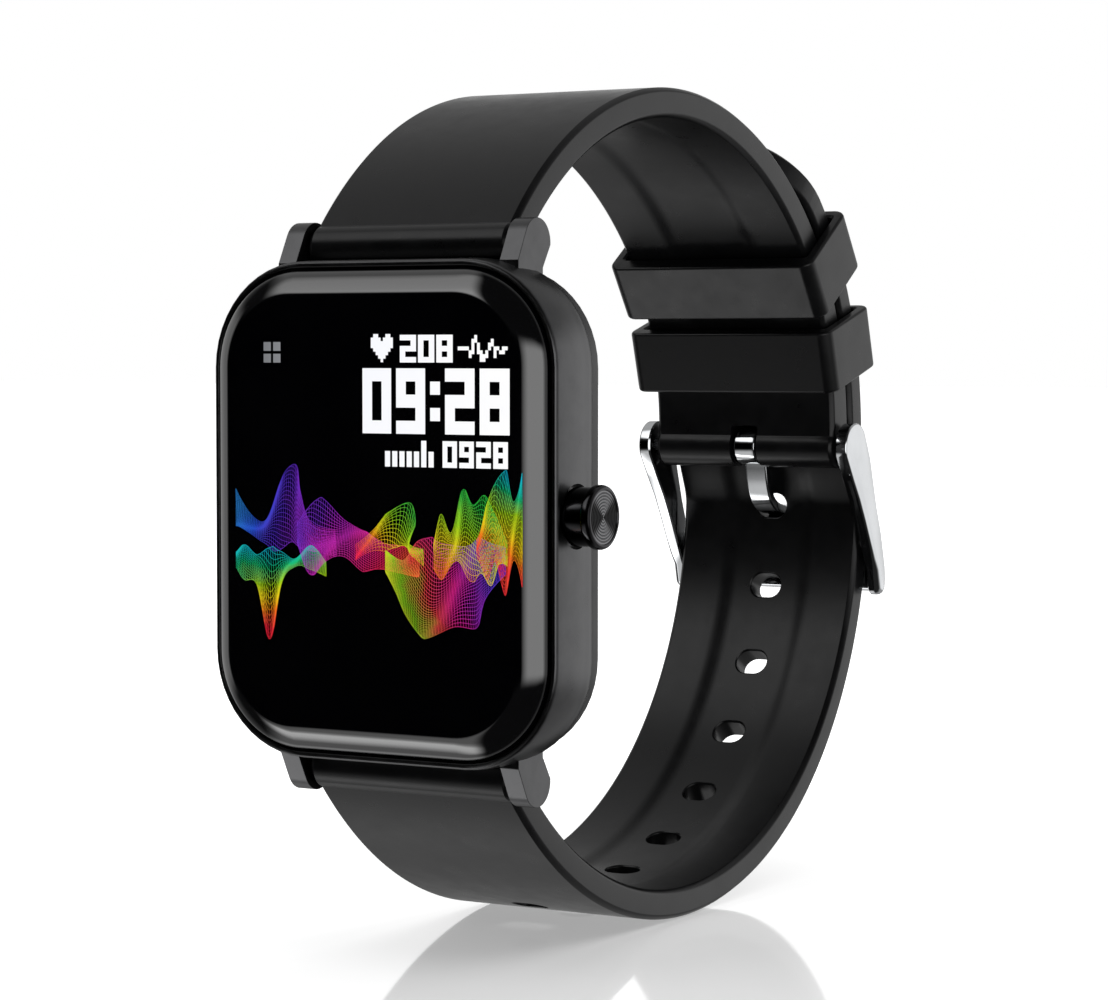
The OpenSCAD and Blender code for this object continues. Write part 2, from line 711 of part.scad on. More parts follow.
module tang() {
    rest = crossbar_at - (crossbar_t / 2 + tang_t / 2 + 0.1) * normal(crossbar_pose);
    over = rest + 2.6 * forward(crossbar_pose) + [0.05, 0];
    tang_hole_at = [tang_hole[0], tang_hole[1]];
    color("#d9dbde") difference() {
        union() {
            translate([0, pin_y, pin_z]) rod_x(-tang_w / 2, tang_w / 2, tang_ring);
            along_x(tang_w) chain([[pin_y + 0.6, pin_z - 1.5], [pin_y + 1.9, pin_z - 4.9],
                tang_hole_at + [-1.8, -0.25], tang_hole_at + [1.5, -0.5], over, rest], tang_t);
        }
        translate([0, pin_y, pin_z]) rod_x(-tang_w, tang_w, pin_r + running);
    }
}

case_frame();
glass();
glass_gasket();
display_panel();
backlight();
display_flex();
chassis();
main_board();
processor();
board_chips();
shield_can();
crystal();
battery();
battery_lead();
motor_can();
motor_rotor();
crown_switch();
crown_plunger();
crown_stem();
crown_cap();
crown_oring();
crown_clip();
rear_cover();
rear_gasket();
cover_screws();
sensor_window();
sensor_board();
sensor_leds();
photodiode();
light_barrier();
charging_contacts();
charging_magnets();
upper_bar_tube();
upper_bar_spring();
upper_bar_pin_left();
upper_bar_pin_right();
lower_bar_tube();
lower_bar_spring();
lower_bar_pin_left();
lower_bar_pin_right();
upper_strap_front();
upper_strap_rear();
lower_strap_front();
lower_strap_tail();
fixed_keeper();
free_keeper();
buckle_frame();
buckle_pin();
tang();
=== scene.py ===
"""Looks of a square smartwatch with a buckled silicone strap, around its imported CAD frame.

Shapes are built in millimetres in the row frame and scaled to metres when they are finished:
+X is the crown side, +Y points out of the case back and +Z is towards 12 o'clock.
"""
import math

import bmesh
import bpy
from mathutils import Matrix, Vector


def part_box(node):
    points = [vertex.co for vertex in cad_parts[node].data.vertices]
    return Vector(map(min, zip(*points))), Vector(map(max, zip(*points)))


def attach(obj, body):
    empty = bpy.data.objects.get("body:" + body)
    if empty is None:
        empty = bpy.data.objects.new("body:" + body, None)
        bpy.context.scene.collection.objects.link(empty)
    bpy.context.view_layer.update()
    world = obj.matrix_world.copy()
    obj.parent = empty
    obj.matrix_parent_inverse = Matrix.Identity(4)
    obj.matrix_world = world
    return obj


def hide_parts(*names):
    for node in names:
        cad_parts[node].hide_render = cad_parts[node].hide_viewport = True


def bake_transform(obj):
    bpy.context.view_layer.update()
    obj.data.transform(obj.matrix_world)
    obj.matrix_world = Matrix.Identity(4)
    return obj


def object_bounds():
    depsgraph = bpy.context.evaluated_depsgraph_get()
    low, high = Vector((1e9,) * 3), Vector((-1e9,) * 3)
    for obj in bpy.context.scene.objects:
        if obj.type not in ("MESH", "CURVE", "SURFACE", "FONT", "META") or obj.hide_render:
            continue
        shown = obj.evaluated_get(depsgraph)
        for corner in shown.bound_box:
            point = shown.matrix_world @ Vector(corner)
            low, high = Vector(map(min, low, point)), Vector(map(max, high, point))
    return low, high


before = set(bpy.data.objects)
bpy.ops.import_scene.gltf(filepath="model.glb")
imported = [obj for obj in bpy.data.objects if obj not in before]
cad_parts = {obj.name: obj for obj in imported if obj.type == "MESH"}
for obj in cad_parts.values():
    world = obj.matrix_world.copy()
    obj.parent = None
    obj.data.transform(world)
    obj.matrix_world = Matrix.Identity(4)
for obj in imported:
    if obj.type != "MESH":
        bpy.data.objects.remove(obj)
CAD_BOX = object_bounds()
MM = 0.001


def box_mm(node):
    """Lowest and highest corner of a CAD node in millimetres."""
    low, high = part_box(node)
    return low / MM, high / MM


def centre_mm(node):
    low, high = box_mm(node)
    return (low + high) / 2


# ---------- sizes, from the frame and a few driving dimensions ----------
case_low, case_high = box_mm("case_frame")
glass_low, glass_high = box_mm("glass")
cover_high = box_mm("rear_cover")[1]
cap_low, cap_high = box_mm("crown_cap")
RIM = case_high.x - glass_high.x
GLASS = (2 * glass_high.x, 2 * glass_high.z, 8.35)
CASE = (2 * case_high.x, GLASS[1] + 2 * RIM, GLASS[2] + RIM)
FRONT = case_low.y
REAR = box_mm("rear_gasket")[0].y
GLASS_FRONT = glass_low.y
WALL = 1.6
GAP = 0.2
LEDGE = (FRONT + 0.95, FRONT + 1.45)
BAR = centre_mm("upper_bar_tube")
LUG_GAP = 20.6
LUG_T = 1.85
LUG_R = 2.1
KNUCKLE_R = 1.75
CROWN = centre_mm("crown_cap")
CROWN_R = (cap_high.z - cap_low.z) / 2
CROWN_FACE = cap_high.x
RING_PITCH = 0.26
PIN = centre_mm("buckle_pin")
STRAP_W = 20.2
STRAP_T = 2.75
MID_T = STRAP_T + 0.8
PIN_END_T = 4.2
CHANNEL = 0.35
TANG_W = 2.4
TANG_T = 1.0
WINDOW_R = 8.0
SCREW_AT = (13, 17)
SCREW_HEAD_T = 0.7
CONTACT_AT = (1.8, -14.6)

# ---------- strap centre lines, as poses (y, z, heading in degrees) ----------
UPPER_R, BUCKLE_END_R, LOWER_R, TAIL_R = 37.1, 28.5, 40.2, 36.2
UPPER_TURN, UPPER_END_TURN = -93.9, -49.8
LOWER_TURN, LOWER_END_TURN = 69.9, 68.6
TAIL_TIP_TURN = -81.3
TAIL_GAP = 0.4
HOLE_PITCH = 8.6
HOLE_COUNT = 9
HOLE_SIZE = (3.4, 2.5)
UPPER_FLEX_TURN, LOWER_FLEX_TURN = -55, 64.4
FREE_KEEPER_TURN, FIXED_KEEPER_TURN = -12.2, -30.2
UPPER_START = (BAR.y, BAR.z, 50.6)
LOWER_START = (BAR.y, -BAR.z, -50.7)


def forward(pose):
    return math.cos(math.radians(pose[2])), math.sin(math.radians(pose[2]))


def normal(pose):
    return -math.sin(math.radians(pose[2])), math.cos(math.radians(pose[2]))


def shifted(pose, along, beside):
    f, n = forward(pose), normal(pose)
    return pose[0] + along * f[0] + beside * n[0], pose[1] + along * f[1] + beside * n[1], pose[2]


def turned(pose, radius, turn):
    """The pose after a turn on a radius; a negative turn is clockwise."""
    signed = math.copysign(radius, turn)
    now, then = math.radians(pose[2]), math.radians(pose[2] + turn)
    y = pose[0] + signed * (math.sin(then) - math.sin(now))
    z = pose[1] - signed * (math.cos(then) - math.cos(now))
    return y, z, pose[2] + turn


def arc(pose, radius, turn, step=0.8):
    count = max(2, round(radius * math.radians(abs(turn)) / step))
    return [turned(pose, radius, turn * k / count) for k in range(count + 1)]


def bridge(a, b, count=8):
    """Smooth stretch between two poses, without its ends."""
    start, end = Vector(a[:2]), Vector(b[:2])
    reach = (end - start).length / 3
    p, q = start + reach * Vector(forward(a)), end - reach * Vector(forward(b))
    made = []
    for k in range(1, count):
        u = k / count
        v = 1 - u
        spot = v**3 * start + 3 * v * v * u * p + 3 * v * u * u * q + u**3 * end
        way = v * v * (p - start) + 2 * v * u * (q - p) + u * u * (end - q)
        made.append((spot.x, spot.y, math.degrees(math.atan2(way.y, way.x))))
    return made


def joined(*paths):
    """Paths end to end, without the pose that each shares with the one before."""
    made = list(paths[0])
    for path in paths[1:]:
        near = math.dist(made[-1][:2], path[0][:2]) < 0.05
        made += path[1:] if near else path
    return made


upper_arc = arc(UPPER_START, UPPER_R, UPPER_TURN)
upper_mid_end = turned(UPPER_START, UPPER_R, UPPER_TURN)
upper_end_arc = arc(upper_mid_end, BUCKLE_END_R, UPPER_END_TURN)
upper_path = joined(upper_arc, upper_end_arc)
lower_mid_end = turned(LOWER_START, LOWER_R, LOWER_TURN)
lower_arc = arc(LOWER_START, LOWER_R, LOWER_TURN)
lower_end_arc = arc(lower_mid_end, TAIL_R, LOWER_END_TURN)
tang_hole = lower_end_arc[-1]


def end_thickness(share):
    """CAD thickness of the upper strap, from its middle at 0 to the pin at 1."""
    return MID_T + (PIN_END_T - MID_T) * share


def outside(pose, thickness):
    """The tail's pose on the outer side of the upper strap, facing the other way."""
    y, z, heading = shifted(pose, 0, thickness / 2 + TAIL_GAP + STRAP_T / 2)
    return y, z, heading + 180


tail_inner = arc(turned(UPPER_START, UPPER_R, TAIL_TIP_TURN), UPPER_R, UPPER_TURN - TAIL_TIP_TURN)
tail_outer = [outside(p, end_thickness(k / (len(upper_end_arc) - 1))) for k, p in enumerate(upper_end_arc)]
tail_path = list(reversed(joined([outside(p, MID_T) for p in tail_inner], tail_outer)))
lower_path = joined(lower_arc, lower_end_arc, bridge(tang_hole, tail_path[0]), tail_path)


def hole_pose(k):
    """Pose of hole k on the lower strap's centre line, counted from the tang towards the lug."""
    over = LOWER_END_TURN - math.degrees(k * HOLE_PITCH / TAIL_R)
    if over >= 0:
        return turned(lower_mid_end, TAIL_R, over)
    return turned(LOWER_START, LOWER_R, LOWER_TURN + over * TAIL_R / LOWER_R)


# ---------- mesh helpers ----------
def rounded_rect(width, height, radius, arc_steps=12, side_steps=6):
    """Points of a rounded rectangle, anticlockwise, the same count at any size."""
    x, z = width / 2 - radius, height / 2 - radius
    corners = [(x, z, 0), (-x, z, 90), (-x, -z, 180), (x, -z, 270)]
    points = []
    for k, (cx, cz, start) in enumerate(corners):
        for i in range(arc_steps + 1):
            a = math.radians(start + 90 * i / arc_steps)
            points.append((cx + radius * math.cos(a), cz + radius * math.sin(a)))
        nx, nz, angle = corners[(k + 1) % 4]
        a = math.radians(angle)
        end = (nx + radius * math.cos(a), nz + radius * math.sin(a))
        begin = points[-1]
        for i in range(1, side_steps):
            u = i / side_steps
            points.append((begin[0] + (end[0] - begin[0]) * u, begin[1] + (end[1] - begin[1]) * u))
    return points


def loft(bm, rings, closed=False):
    """Skins rings of equal count; an open stack gets a face at each end."""
    rows = [[bm.verts.new(p) for p in ring] for ring in rings]
    pairs = list(zip(rows, rows[1:]))
    if closed:
        pairs.append((rows[-1], rows[0]))
    for a, b in pairs:
        for i in range(len(a)):
            j = (i + 1) % len(a)
            bm.faces.new((a[i], a[j], b[j], b[i]))
    if not closed:
        bm.faces.new(list(reversed(rows[0])))
        bm.faces.new(rows[-1])


def prism(bm, outline, x0, x1):
    """Solid along X from an outline of (y, z) points."""
    loft(bm, [[(x, y, z) for y, z in outline] for x in (x0, x1)])


def disc(radius, count=48):
    turns = [2 * math.pi * k / count for k in range(count)]
    return [(radius * math.cos(a), radius * math.sin(a)) for a in turns]


def lathe(bm, profile, axis, at, count=72):
    """Closed solid of revolution from (place along the axis, radius) points; its end radii are 0."""
    def place(along, u, v):
        return at + (Vector((along, u, v)) if axis == "x" else Vector((u, along, v)))
    rings = [[place(along, *p) for p in disc(r, count)] for along, r in profile[1:-1]]
    rows = [[bm.verts.new(p) for p in ring] for ring in rings]
    for a, b in zip(rows, rows[1:]):
        for i in range(count):
            j = (i + 1) % count
            bm.faces.new((a[i], a[j], b[j], b[i]))
    for row, (along, _) in ((rows[0], profile[0]), (rows[-1], profile[-1])):
        tip = bm.verts.new(place(along, 0, 0))
        for i in range(count):
            bm.faces.new((row[i], row[(i + 1) % count], tip))


def bevel(bm, width, segments=3, angle=30):
    limit = math.radians(angle)
    sharp = [e for e in bm.edges if e.is_manifold and e.calc_face_angle(0) > limit]
    bmesh.ops.bevel(bm, geom=sharp, offset=width, segments=segments, profile=0.5, affect="EDGES")


def new_object(name, bm):
    bmesh.ops.recalc_face_normals(bm, faces=bm.faces)
    mesh = bpy.data.meshes.new(name)
    bm.to_mesh(mesh)
    bm.free()
    made = bpy.data.objects.new(name, mesh)
    bpy.context.scene.collection.objects.link(made)
    return made


def build(name, maker, *args):
    """Object in millimetres, from a function that draws into a bmesh."""
    bm = bmesh.new()
    maker(bm, *args)
    return new_object(name, bm)


def combine(target, other, operation):
    """Adds or cuts one solid with another and keeps the result as the target's mesh."""
    step = target.modifiers.new(operation, "BOOLEAN")
    step.operation = operation
    step.solver = "EXACT"
    step.object = other
    graph = bpy.context.evaluated_depsgraph_get()
    mesh = bpy.data.meshes.new_from_object(target.evaluated_get(graph))
    target.modifiers.clear()
    target.data = mesh
    bpy.data.objects.remove(other)


def finish_piece(obj, material, body, replaced=(), smooth=32, weighted=False):
    """Scales a piece to metres, shades it and ties it to its body and material."""
    obj.data.transform(Matrix.Scale(MM, 4))
    obj.data.shade_smooth()
    obj.data.set_sharp_from_angle(angle=math.radians(smooth))
    obj.data.materials.clear()
    obj.data.materials.append(material)
    if weighted:
        even = obj.modifiers.new("even_normals", "WEIGHTED_NORMAL")
        even.keep_sharp = True
    if body:
        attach(obj, body)
    if replaced:
        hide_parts(*replaced)
    return obj


# ---------- material helpers ----------
def linear(code):
    """A colour such as 2b2c2e in linear light."""
    parts = [int(code[k:k + 2], 16) / 255 for k in (0, 2, 4)]
    return [c / 12.92 if c <= 0.04045 else ((c + 0.055) / 1.055) ** 2.4 for c in parts] + [1]


class Graph:
    """Short names for the nodes that the materials share."""

    def __init__(self, tree):
        self.tree = tree
        tree.nodes.clear()

    def node(self, kind, values=None, **settings):
        made = self.tree.nodes.new(kind)
        for key, value in settings.items():
            setattr(made, key, value)
        for key, value in (values or {}).items():
            if isinstance(value, bpy.types.NodeSocket):
                self.tree.links.new(value, made.inputs[key])
            else:
                made.inputs[key].default_value = value
        return made

    def place(self, stretch=(1, 1, 1)):
        """Object coordinates in metres, stretched."""
        where = self.node("ShaderNodeTexCoord")
        values = {"Vector": where.outputs["Object"], "Scale": stretch}
        return self.node("ShaderNodeMapping", values).outputs[0]

    def noise(self, vector, scale, detail=3, rough=0.55):
        values = {"Vector": vector, "Scale": scale, "Detail": detail, "Roughness": rough}
        return self.node("ShaderNodeTexNoise", values).outputs["Fac"]

    def spread(self, value, low, high, start=0.3, end=0.7):
        values = {"Value": value, "From Min": start, "From Max": end, "To Min": low, "To Max": high}
        return self.node("ShaderNodeMapRange", values).outputs[0]

    def step(self, value, low, high):
        values = {"Value": value, "From Min": low, "From Max": high}
        return self.node("ShaderNodeMapRange", values, interpolation_type="SMOOTHSTEP").outputs[0]

    def math(self, operation, a, b=0.0):
        return self.node("ShaderNodeMath", {0: a, 1: b}, operation=operation).outputs[0]

    def mix(self, share, a, b):
        return self.node("ShaderNodeMix", {0: share, 2: a, 3: b}, data_type="FLOAT").outputs[0]

    def ramp(self, value, stops):
        made = self.node("ShaderNodeValToRGB", {"Fac": value})
        marks = made.color_ramp.elements
        while len(marks) < len(stops):
            marks.new(0.5)
        for mark, (position, colour) in zip(marks, stops):
            mark.position = position
            mark.color = colour
        return made.outputs[0]

    def bump(self, height, distance, strength=1.0):
        values = {"Height": height, "Distance": distance, "Strength": strength}
        return self.node("ShaderNodeBump", values).outputs[0]

    def surface(self, values):
        shader = self.node("ShaderNodeBsdfPrincipled", values)
        out = self.node("ShaderNodeOutputMaterial")
        self.tree.links.new(shader.outputs[0], out.inputs["Surface"])


def new_material(name):
    made = bpy.data.materials.new(name)
    made.use_nodes = True
    return made, Graph(made.node_tree)


def grained(name, dark, light, rough, scale=4000, grain=0.000012, stretch=(1, 1, 1), **fixed):
    """A surface with mottled colour, uneven gloss and a fine grain, at real scale."""
    made, g = new_material(name)
    where = g.place(stretch)
    broad = g.noise(where, scale / 16)
    fine = g.noise(where, scale, 2)
    values = {
        "Base Color": g.ramp(broad, [(0.3, linear(dark)), (0.7, linear(light))]),
        "Roughness": g.spread(broad, rough[0], rough[1]),
        "Normal": g.bump(fine, grain),
    }
    values.update(fixed)
    g.surface(values)
    return made


def circuit_board():
    """Green solder mask with copper tracks under it."""
    made, g = new_material("board_green")
    where = g.place()
    values = {"Vector": where, "Scale": 900.0}
    tracks = g.node("ShaderNodeTexVoronoi", values, feature="DISTANCE_TO_EDGE").outputs["Distance"]
    line = g.step(tracks, 0.03, 0.07)
    colour = g.ramp(line, [(0.0, linear("2f7a4c")), (1.0, linear("0f3d27"))])
    rough = g.spread(g.noise(where, 500), 0.3, 0.45)
    g.surface({"Base Color": colour, "Roughness": rough, "Normal": g.bump(line, -0.00002)})
    return made


def spun_black():
    """Polished black crown whose face carries fine rings and a painted highlight in its base colour, bright
    in a bow-tie above and below its centre.
    """
    made, g = new_material("crown_black")
    where = g.place()
    parts = g.node("ShaderNodeSeparateXYZ", {0: where}).outputs
    y = g.math("ABSOLUTE", g.math("SUBTRACT", parts["Y"], CROWN.y * MM))
    z = g.math("ABSOLUTE", g.math("SUBTRACT", parts["Z"], CROWN.z * MM))
    # Painted highlight: the face's base colour turns bright in a bow-tie above and below the centre, like
    # spun metal's reflection, and the ring wave makes it pulse
    painted_fan_highlight = g.step(g.math("DIVIDE", z, g.math("ADD", y, z)), 0.36, 0.62)
    radius = g.math("SQRT", g.math("ADD", g.math("POWER", y, 2.0), g.math("POWER", z, 2.0)))
    wave = g.math("SINE", g.math("MULTIPLY", radius, 2 * math.pi / (RING_PITCH * MM)))
    lit = g.math("MULTIPLY", painted_fan_highlight, g.spread(wave, 0.35, 1.0, -0.5, 0.5))
    face = g.math("MULTIPLY", g.step(parts["X"], (CROWN_FACE - 0.3) * MM, (CROWN_FACE - 0.2) * MM),
                  g.math("SUBTRACT", 1.0, g.step(radius, (CROWN_R - 0.5) * MM, (CROWN_R - 0.44) * MM)))
    shine = g.spread(g.noise(where, 600), 0.18, 0.24)
    side = g.math("MULTIPLY", g.math("SUBTRACT", 1.0, face), shine)
    # Base colour: the painted highlight on the face, and the side's own dark grey elsewhere
    tone_and_painted_highlight = g.math("ADD", g.math("MULTIPLY", face, lit), side)
    tones = [(0.0, linear("0c0c0d")), (0.5, linear("5c5c5e")), (1.0, linear("78787a"))]
    g.surface({
        "Base Color": g.ramp(tone_and_painted_highlight, tones), "Metallic": 1.0,
        "Roughness": g.spread(g.noise(where, 2500), 0.1, 0.16),
    })
    return made


def black_glass():
    """Cover glass over a black print, with faint wipe marks in its gloss."""
    made, g = new_material("display_glass")
    where = g.place()
    smear = g.noise(where, 90, 4)
    g.surface({
        "Base Color": g.ramp(smear, [(0.3, linear("010102")), (0.7, linear("030304"))]),
        "Roughness": g.spread(smear, 0.055, 0.075), "IOR": 2.0,
    })
    return made


def lit_art(name, stops, way, low, high, power=1.0):
    """Lit display pixels whose colour runs along a direction (x, z), from low to high in millimetres."""
    made, g = new_material(name)
    where = g.place()
    values = {0: where, 1: (way[0], 0, way[1])}
    along = g.node("ShaderNodeVectorMath", values, operation="DOT_PRODUCT").outputs["Value"]
    run = g.spread(along, 0.0, 1.0, low * MM, high * MM)
    flow = g.math("ADD", run, g.spread(g.noise(where, 320), -0.08, 0.08))
    g.surface({
        "Base Color": linear("000000"), "Roughness": 0.1,
        "Emission Color": g.ramp(flow, stops), "Emission Strength": power,
    })
    return made


MATERIALS = {
    "case_metal": grained("case_metal", "545455", "5e5e5f", (0.27, 0.33), 9000, 0.000003, Metallic=1.0),
    "display_glass": black_glass(),
    "display_screen": grained("display_screen", "08090c", "0d0e12", (0.2, 0.3)),
    "white_plastic": grained("white_plastic", "dcdcd6", "eeeee8", (0.4, 0.5)),
    "black_plastic": grained("black_plastic", "1c1c1d", "232324", (0.36, 0.44), 6000, 0.000005),
    "seal_rubber": grained("seal_rubber", "0c0c0d", "151516", (0.6, 0.75)),
    "seal_red": grained("seal_red", "8f1d20", "b4282c", (0.5, 0.65)),
    "flex_copper": grained("flex_copper", "8a531d", "b8742a", (0.3, 0.45), stretch=(6, 1, 1)),
    "board_green": circuit_board(),
    "chip_black": grained("chip_black", "141416", "1f1f22", (0.5, 0.65), 6000),
    "bright_steel": grained("bright_steel", "a4a6a8", "c6c8ca", (0.2, 0.32), stretch=(1, 12, 12),
                            Metallic=1.0),
    "screw_steel": grained("screw_steel", "4e5053", "6a6c6f", (0.28, 0.4), Metallic=1.0),
    "battery_foil": grained("battery_foil", "5c6065", "7a7e83", (0.3, 0.5), 1200, 0.00004, Metallic=0.8),
    "lead_red": grained("lead_red", "7f1212", "a01818", (0.45, 0.6)),
    "brass_weight": grained("brass_weight", "77643f", "9a8352", (0.3, 0.45), Metallic=1.0),
    "crown_black": spun_black(),
    "led_lens": grained("led_lens", "b8d4a8", "e0f6d0", (0.15, 0.25)),
    "gold_contact": grained("gold_contact", "c39a3c", "e2bd62", (0.18, 0.3), Metallic=1.0),
    "silicone": grained("silicone", "09090a", "0e0e0f", (0.27, 0.33), 7000, 0.000005, IOR=1.38),
    "buckle_chrome": grained("buckle_chrome", "d4d6d8", "e2e4e6", (0.04, 0.1), 2500, 0.000001, Metallic=1.0),
}


def dress_cad_nodes():
    """Gives each CAD node the procedural material of its slot in the record."""
    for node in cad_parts.values():
        for spot in node.material_slots:
            slot = spot.material.name.split(".")[0]
            if slot in MATERIALS:
                spot.material = MATERIALS[slot]


# ---------- case ----------
def depth_rings(size, profile, **steps):
    """Rounded rectangles in X and Z at (inset, depth) stations."""
    return [
        [(x, depth, z) for x, z in
         rounded_rect(size[0] - 2 * inset, size[1] - 2 * inset, max(size[2] - inset, 0.3), **steps)]
        for inset, depth in profile
    ]


def case_shell(bm):
    side_front, side_back = FRONT + 0.42, REAR - 1.8
    bulge = 0.12
    wall = []
    for k in range(9):
        u = k / 8
        wall.append((bulge * (2 * u - 1) ** 2, side_front + (side_back - side_front) * u))
    rear = []
    for k in range(1, 8):
        a = math.radians(90 * k / 8)
        rear.append((bulge + 0.7 * (1 - math.cos(a)), side_back + (REAR - side_back) * math.sin(a)))
    lip = RIM - GAP
    front = [(lip, FRONT + 0.08), (lip - 0.08, FRONT), (0.34, FRONT), (0.28, FRONT + 0.03),
             (0.17, FRONT + 0.2)]
    inner = [(WALL, REAR), (WALL, LEDGE[1]), (2.6, LEDGE[1]), (2.6, LEDGE[0]), (lip, LEDGE[0])]
    loft(bm, depth_rings(CASE, front + wall + rear + [(0.95, REAR)] + inner), closed=True)


def lug_outline(side):
    """Outline in (y, z): a flat front facet up to a round end about the spring bar."""
    foot = Vector((FRONT + 2.45, CASE[1] / 2 - 0.2))
    hub = Vector((BAR.y, BAR.z))
    reach = hub - foot
    slope = math.atan2(reach.y, reach.x) + math.asin(LUG_R / reach.length)
    start, end = slope + math.pi / 2, -math.radians(4)
    points = [foot]
    for k in range(17):
        a = start + (end - start) * k / 16
        points.append(hub + LUG_R * Vector((math.cos(a), math.sin(a))))
    points += [Vector((REAR - 0.2, CASE[1] / 2 - 0.8)), Vector((REAR - 0.2, CASE[1] / 2 - 2)),
               Vector((foot.x, CASE[1] / 2 - 2))]
    return [(p.x, side * p.y) for p in points]


def lug(bm, side, hand):
    middle = hand * (LUG_GAP + LUG_T) / 2
    prism(bm, lug_outline(side), middle - LUG_T / 2, middle + LUG_T / 2)
    bevel(bm, 0.52, segments=1, angle=50)
    bevel(bm, 0.06, segments=2, angle=25)


def rod(bm, x0, x1, radius, at, count=48):
    loft(bm, [[(x, at.y + u, at.z + v) for u, v in disc(radius, count)] for x in (x0, x1)])


def case_cuts(bm):
    """Room for the crown, the strap ends and the spring bar tips."""
    rod(bm, CASE[0] / 2 - 0.7, CASE[0] / 2 + 1, CROWN_R + 0.04, CROWN, 72)
    half = LUG_GAP / 2
    for side in (1, -1):
        at = Vector((0, BAR.y, side * BAR.z))
        rod(bm, -half, half, KNUCKLE_R + 0.25, at)
        for hand in (1, -1):
            rod(bm, *sorted((hand * (half + 0.005), hand * (half + 1.1))), 0.5, at, 24)


def make_case():
    case = build("case_body", case_shell)
    for side in (1, -1):
        for hand in (1, -1):
            combine(case, build("lug", lug, side, hand), "UNION")
    combine(case, build("cuts", case_cuts), "DIFFERENCE")
    finish_piece(case, MATERIALS["case_metal"], "case", ["case_frame"], weighted=True)


def glass_body(bm):
    """Cover glass whose front slopes off all round and then bends down at its edge."""
    back = glass_high.y
    shoulder = FRONT + 0.12
    curve, rise = 2.2, shoulder - GLASS_FRONT
    profile = [(0.12, back), (0, back - 0.1), (0, shoulder)]
    for k in range(1, 21):
        u = 1 - k / 20
        profile.append((curve * k / 20, GLASS_FRONT + rise * (0.75 * u**1.4 + 0.25 * u**14)))
    profile.append((curve + 0.1, GLASS_FRONT))
    loft(bm, depth_rings(GLASS, profile, arc_steps=20, side_steps=4))


def make_glass():
    glass = build("cover_glass", glass_body)
    finish_piece(glass, MATERIALS["display_glass"], "case", ["glass"], 25)


# ---------- what the display shows ----------
DIGITS = {
    "0": "111101101101111", "2": "111001111100111", "8": "111101111101111", "9": "111101111001111",
}
HEART = ["011000110", "111101111", "111111111", "111111111", "011111110", "001111100", "000111000",
         "000010000"]
PULSE = ["000000100000000000", "000001100000100000", "000001010001100000", "111101010001011011",
         "000011011010010110", "000010001110010000", "000000001100000000"]
ART_Y = GLASS_FRONT - 0.012


def slab(bm, x0, x1, z0, z1, thick=0.016):
    corners = [(x0, z0), (x1, z0), (x1, z1), (x0, z1)]
    loft(bm, [[(x, y, z) for x, z in corners] for y in (ART_Y, ART_Y + thick)])


def pixel_rows(code, columns=3):
    return [code[k:k + columns] for k in range(0, len(code), columns)]


def cells(bm, rows, x, top, width, height):
    """Lit cells of a small bitmap as flat plates, merged along each row."""
    cell_w, cell_h = width / len(rows[0]), height / len(rows)
    for r, row in enumerate(rows):
        z1 = top - r * cell_h
        z0 = z1 - cell_h
        c = 0
        while c < len(row):
            if row[c] == "1":
                end = c
                while end < len(row) and row[end] == "1":
                    end += 1
                slab(bm, x + c * cell_w, x + end * cell_w, z0, z1)
                c = end
            c += 1


def number(bm, text, x, top, width, height, gap):
    """Digits side by side; a colon takes a third of a digit's width."""
    for mark in text:
        if mark == ":":
            cells(bm, ["0", "1", "0", "1", "0"], x, top, width / 3, height)
            x += width / 3 + gap
        else:
            cells(bm, pixel_rows(DIGITS[mark]), x, top, width, height)
            x += width + gap


def clock_face(bm):
    number(bm, "09:28", -0.65, 12.2, 2.87, 5.45, 0.5)


def pulse_row(bm):
    cells(bm, HEART, 0.2, 15.05, 2.2, 2.35)
    number(bm, "208", 3.1, 14.98, 1.6, 2.3, 0.2)
    cells(bm, PULSE, 8.8, 14.95, 4.8, 2.2)


def date_row(bm):
    for day in range(7):
        tall = 2.2 if day == 5 else 1.3
        x = 1.6 + 0.72 * day
        slab(bm, x, x + 0.5, 4.0, 4.0 + tall)
    number(bm, "0928", 7.3, 6.2, 1.4, 2.2, 0.24)


def corner_icon(bm):
    """Plain grid-of-squares menu icon."""
    for c in range(2):
        for r in range(2):
            x, z = -10.8 + 1.0 * c, 14.4 - 1.0 * r
            slab(bm, x, x + 0.75, z - 0.75, z)


def ribbon(bm, points, width, lift):
    """Thin flat line through (x, z) points, facing the front."""
    rows = []
    for k, (x, z) in enumerate(points):
        before, after = points[max(k - 1, 0)], points[min(k + 1, len(points) - 1)]
        way = Vector((after[0] - before[0], after[1] - before[1]))
        way.normalize()
        side = Vector((-way.y, way.x)) * width / 2
        rows.append([bm.verts.new((x + s * side.x, ART_Y - lift, z + s * side.y)) for s in (1, -1)])
    for a, b in zip(rows, rows[1:]):
        bm.faces.new((a[0], b[0], b[1], a[1]))


def along_curve(points, share):
    """Place on a smooth curve through (x, z) points, for a share from 0 to 1."""
    spot = share * (len(points) - 1)
    k = min(int(spot), len(points) - 2)
    u = spot - k
    a, b, c, d = (Vector(points[min(max(k + i, 0), len(points) - 1)]) for i in (-1, 0, 1, 2))
    return 0.5 * (2 * b + (c - a) * u + (2 * a - 5 * b + 4 * c - d) * u * u + (3 * b - a - 3 * c + d) * u**3)


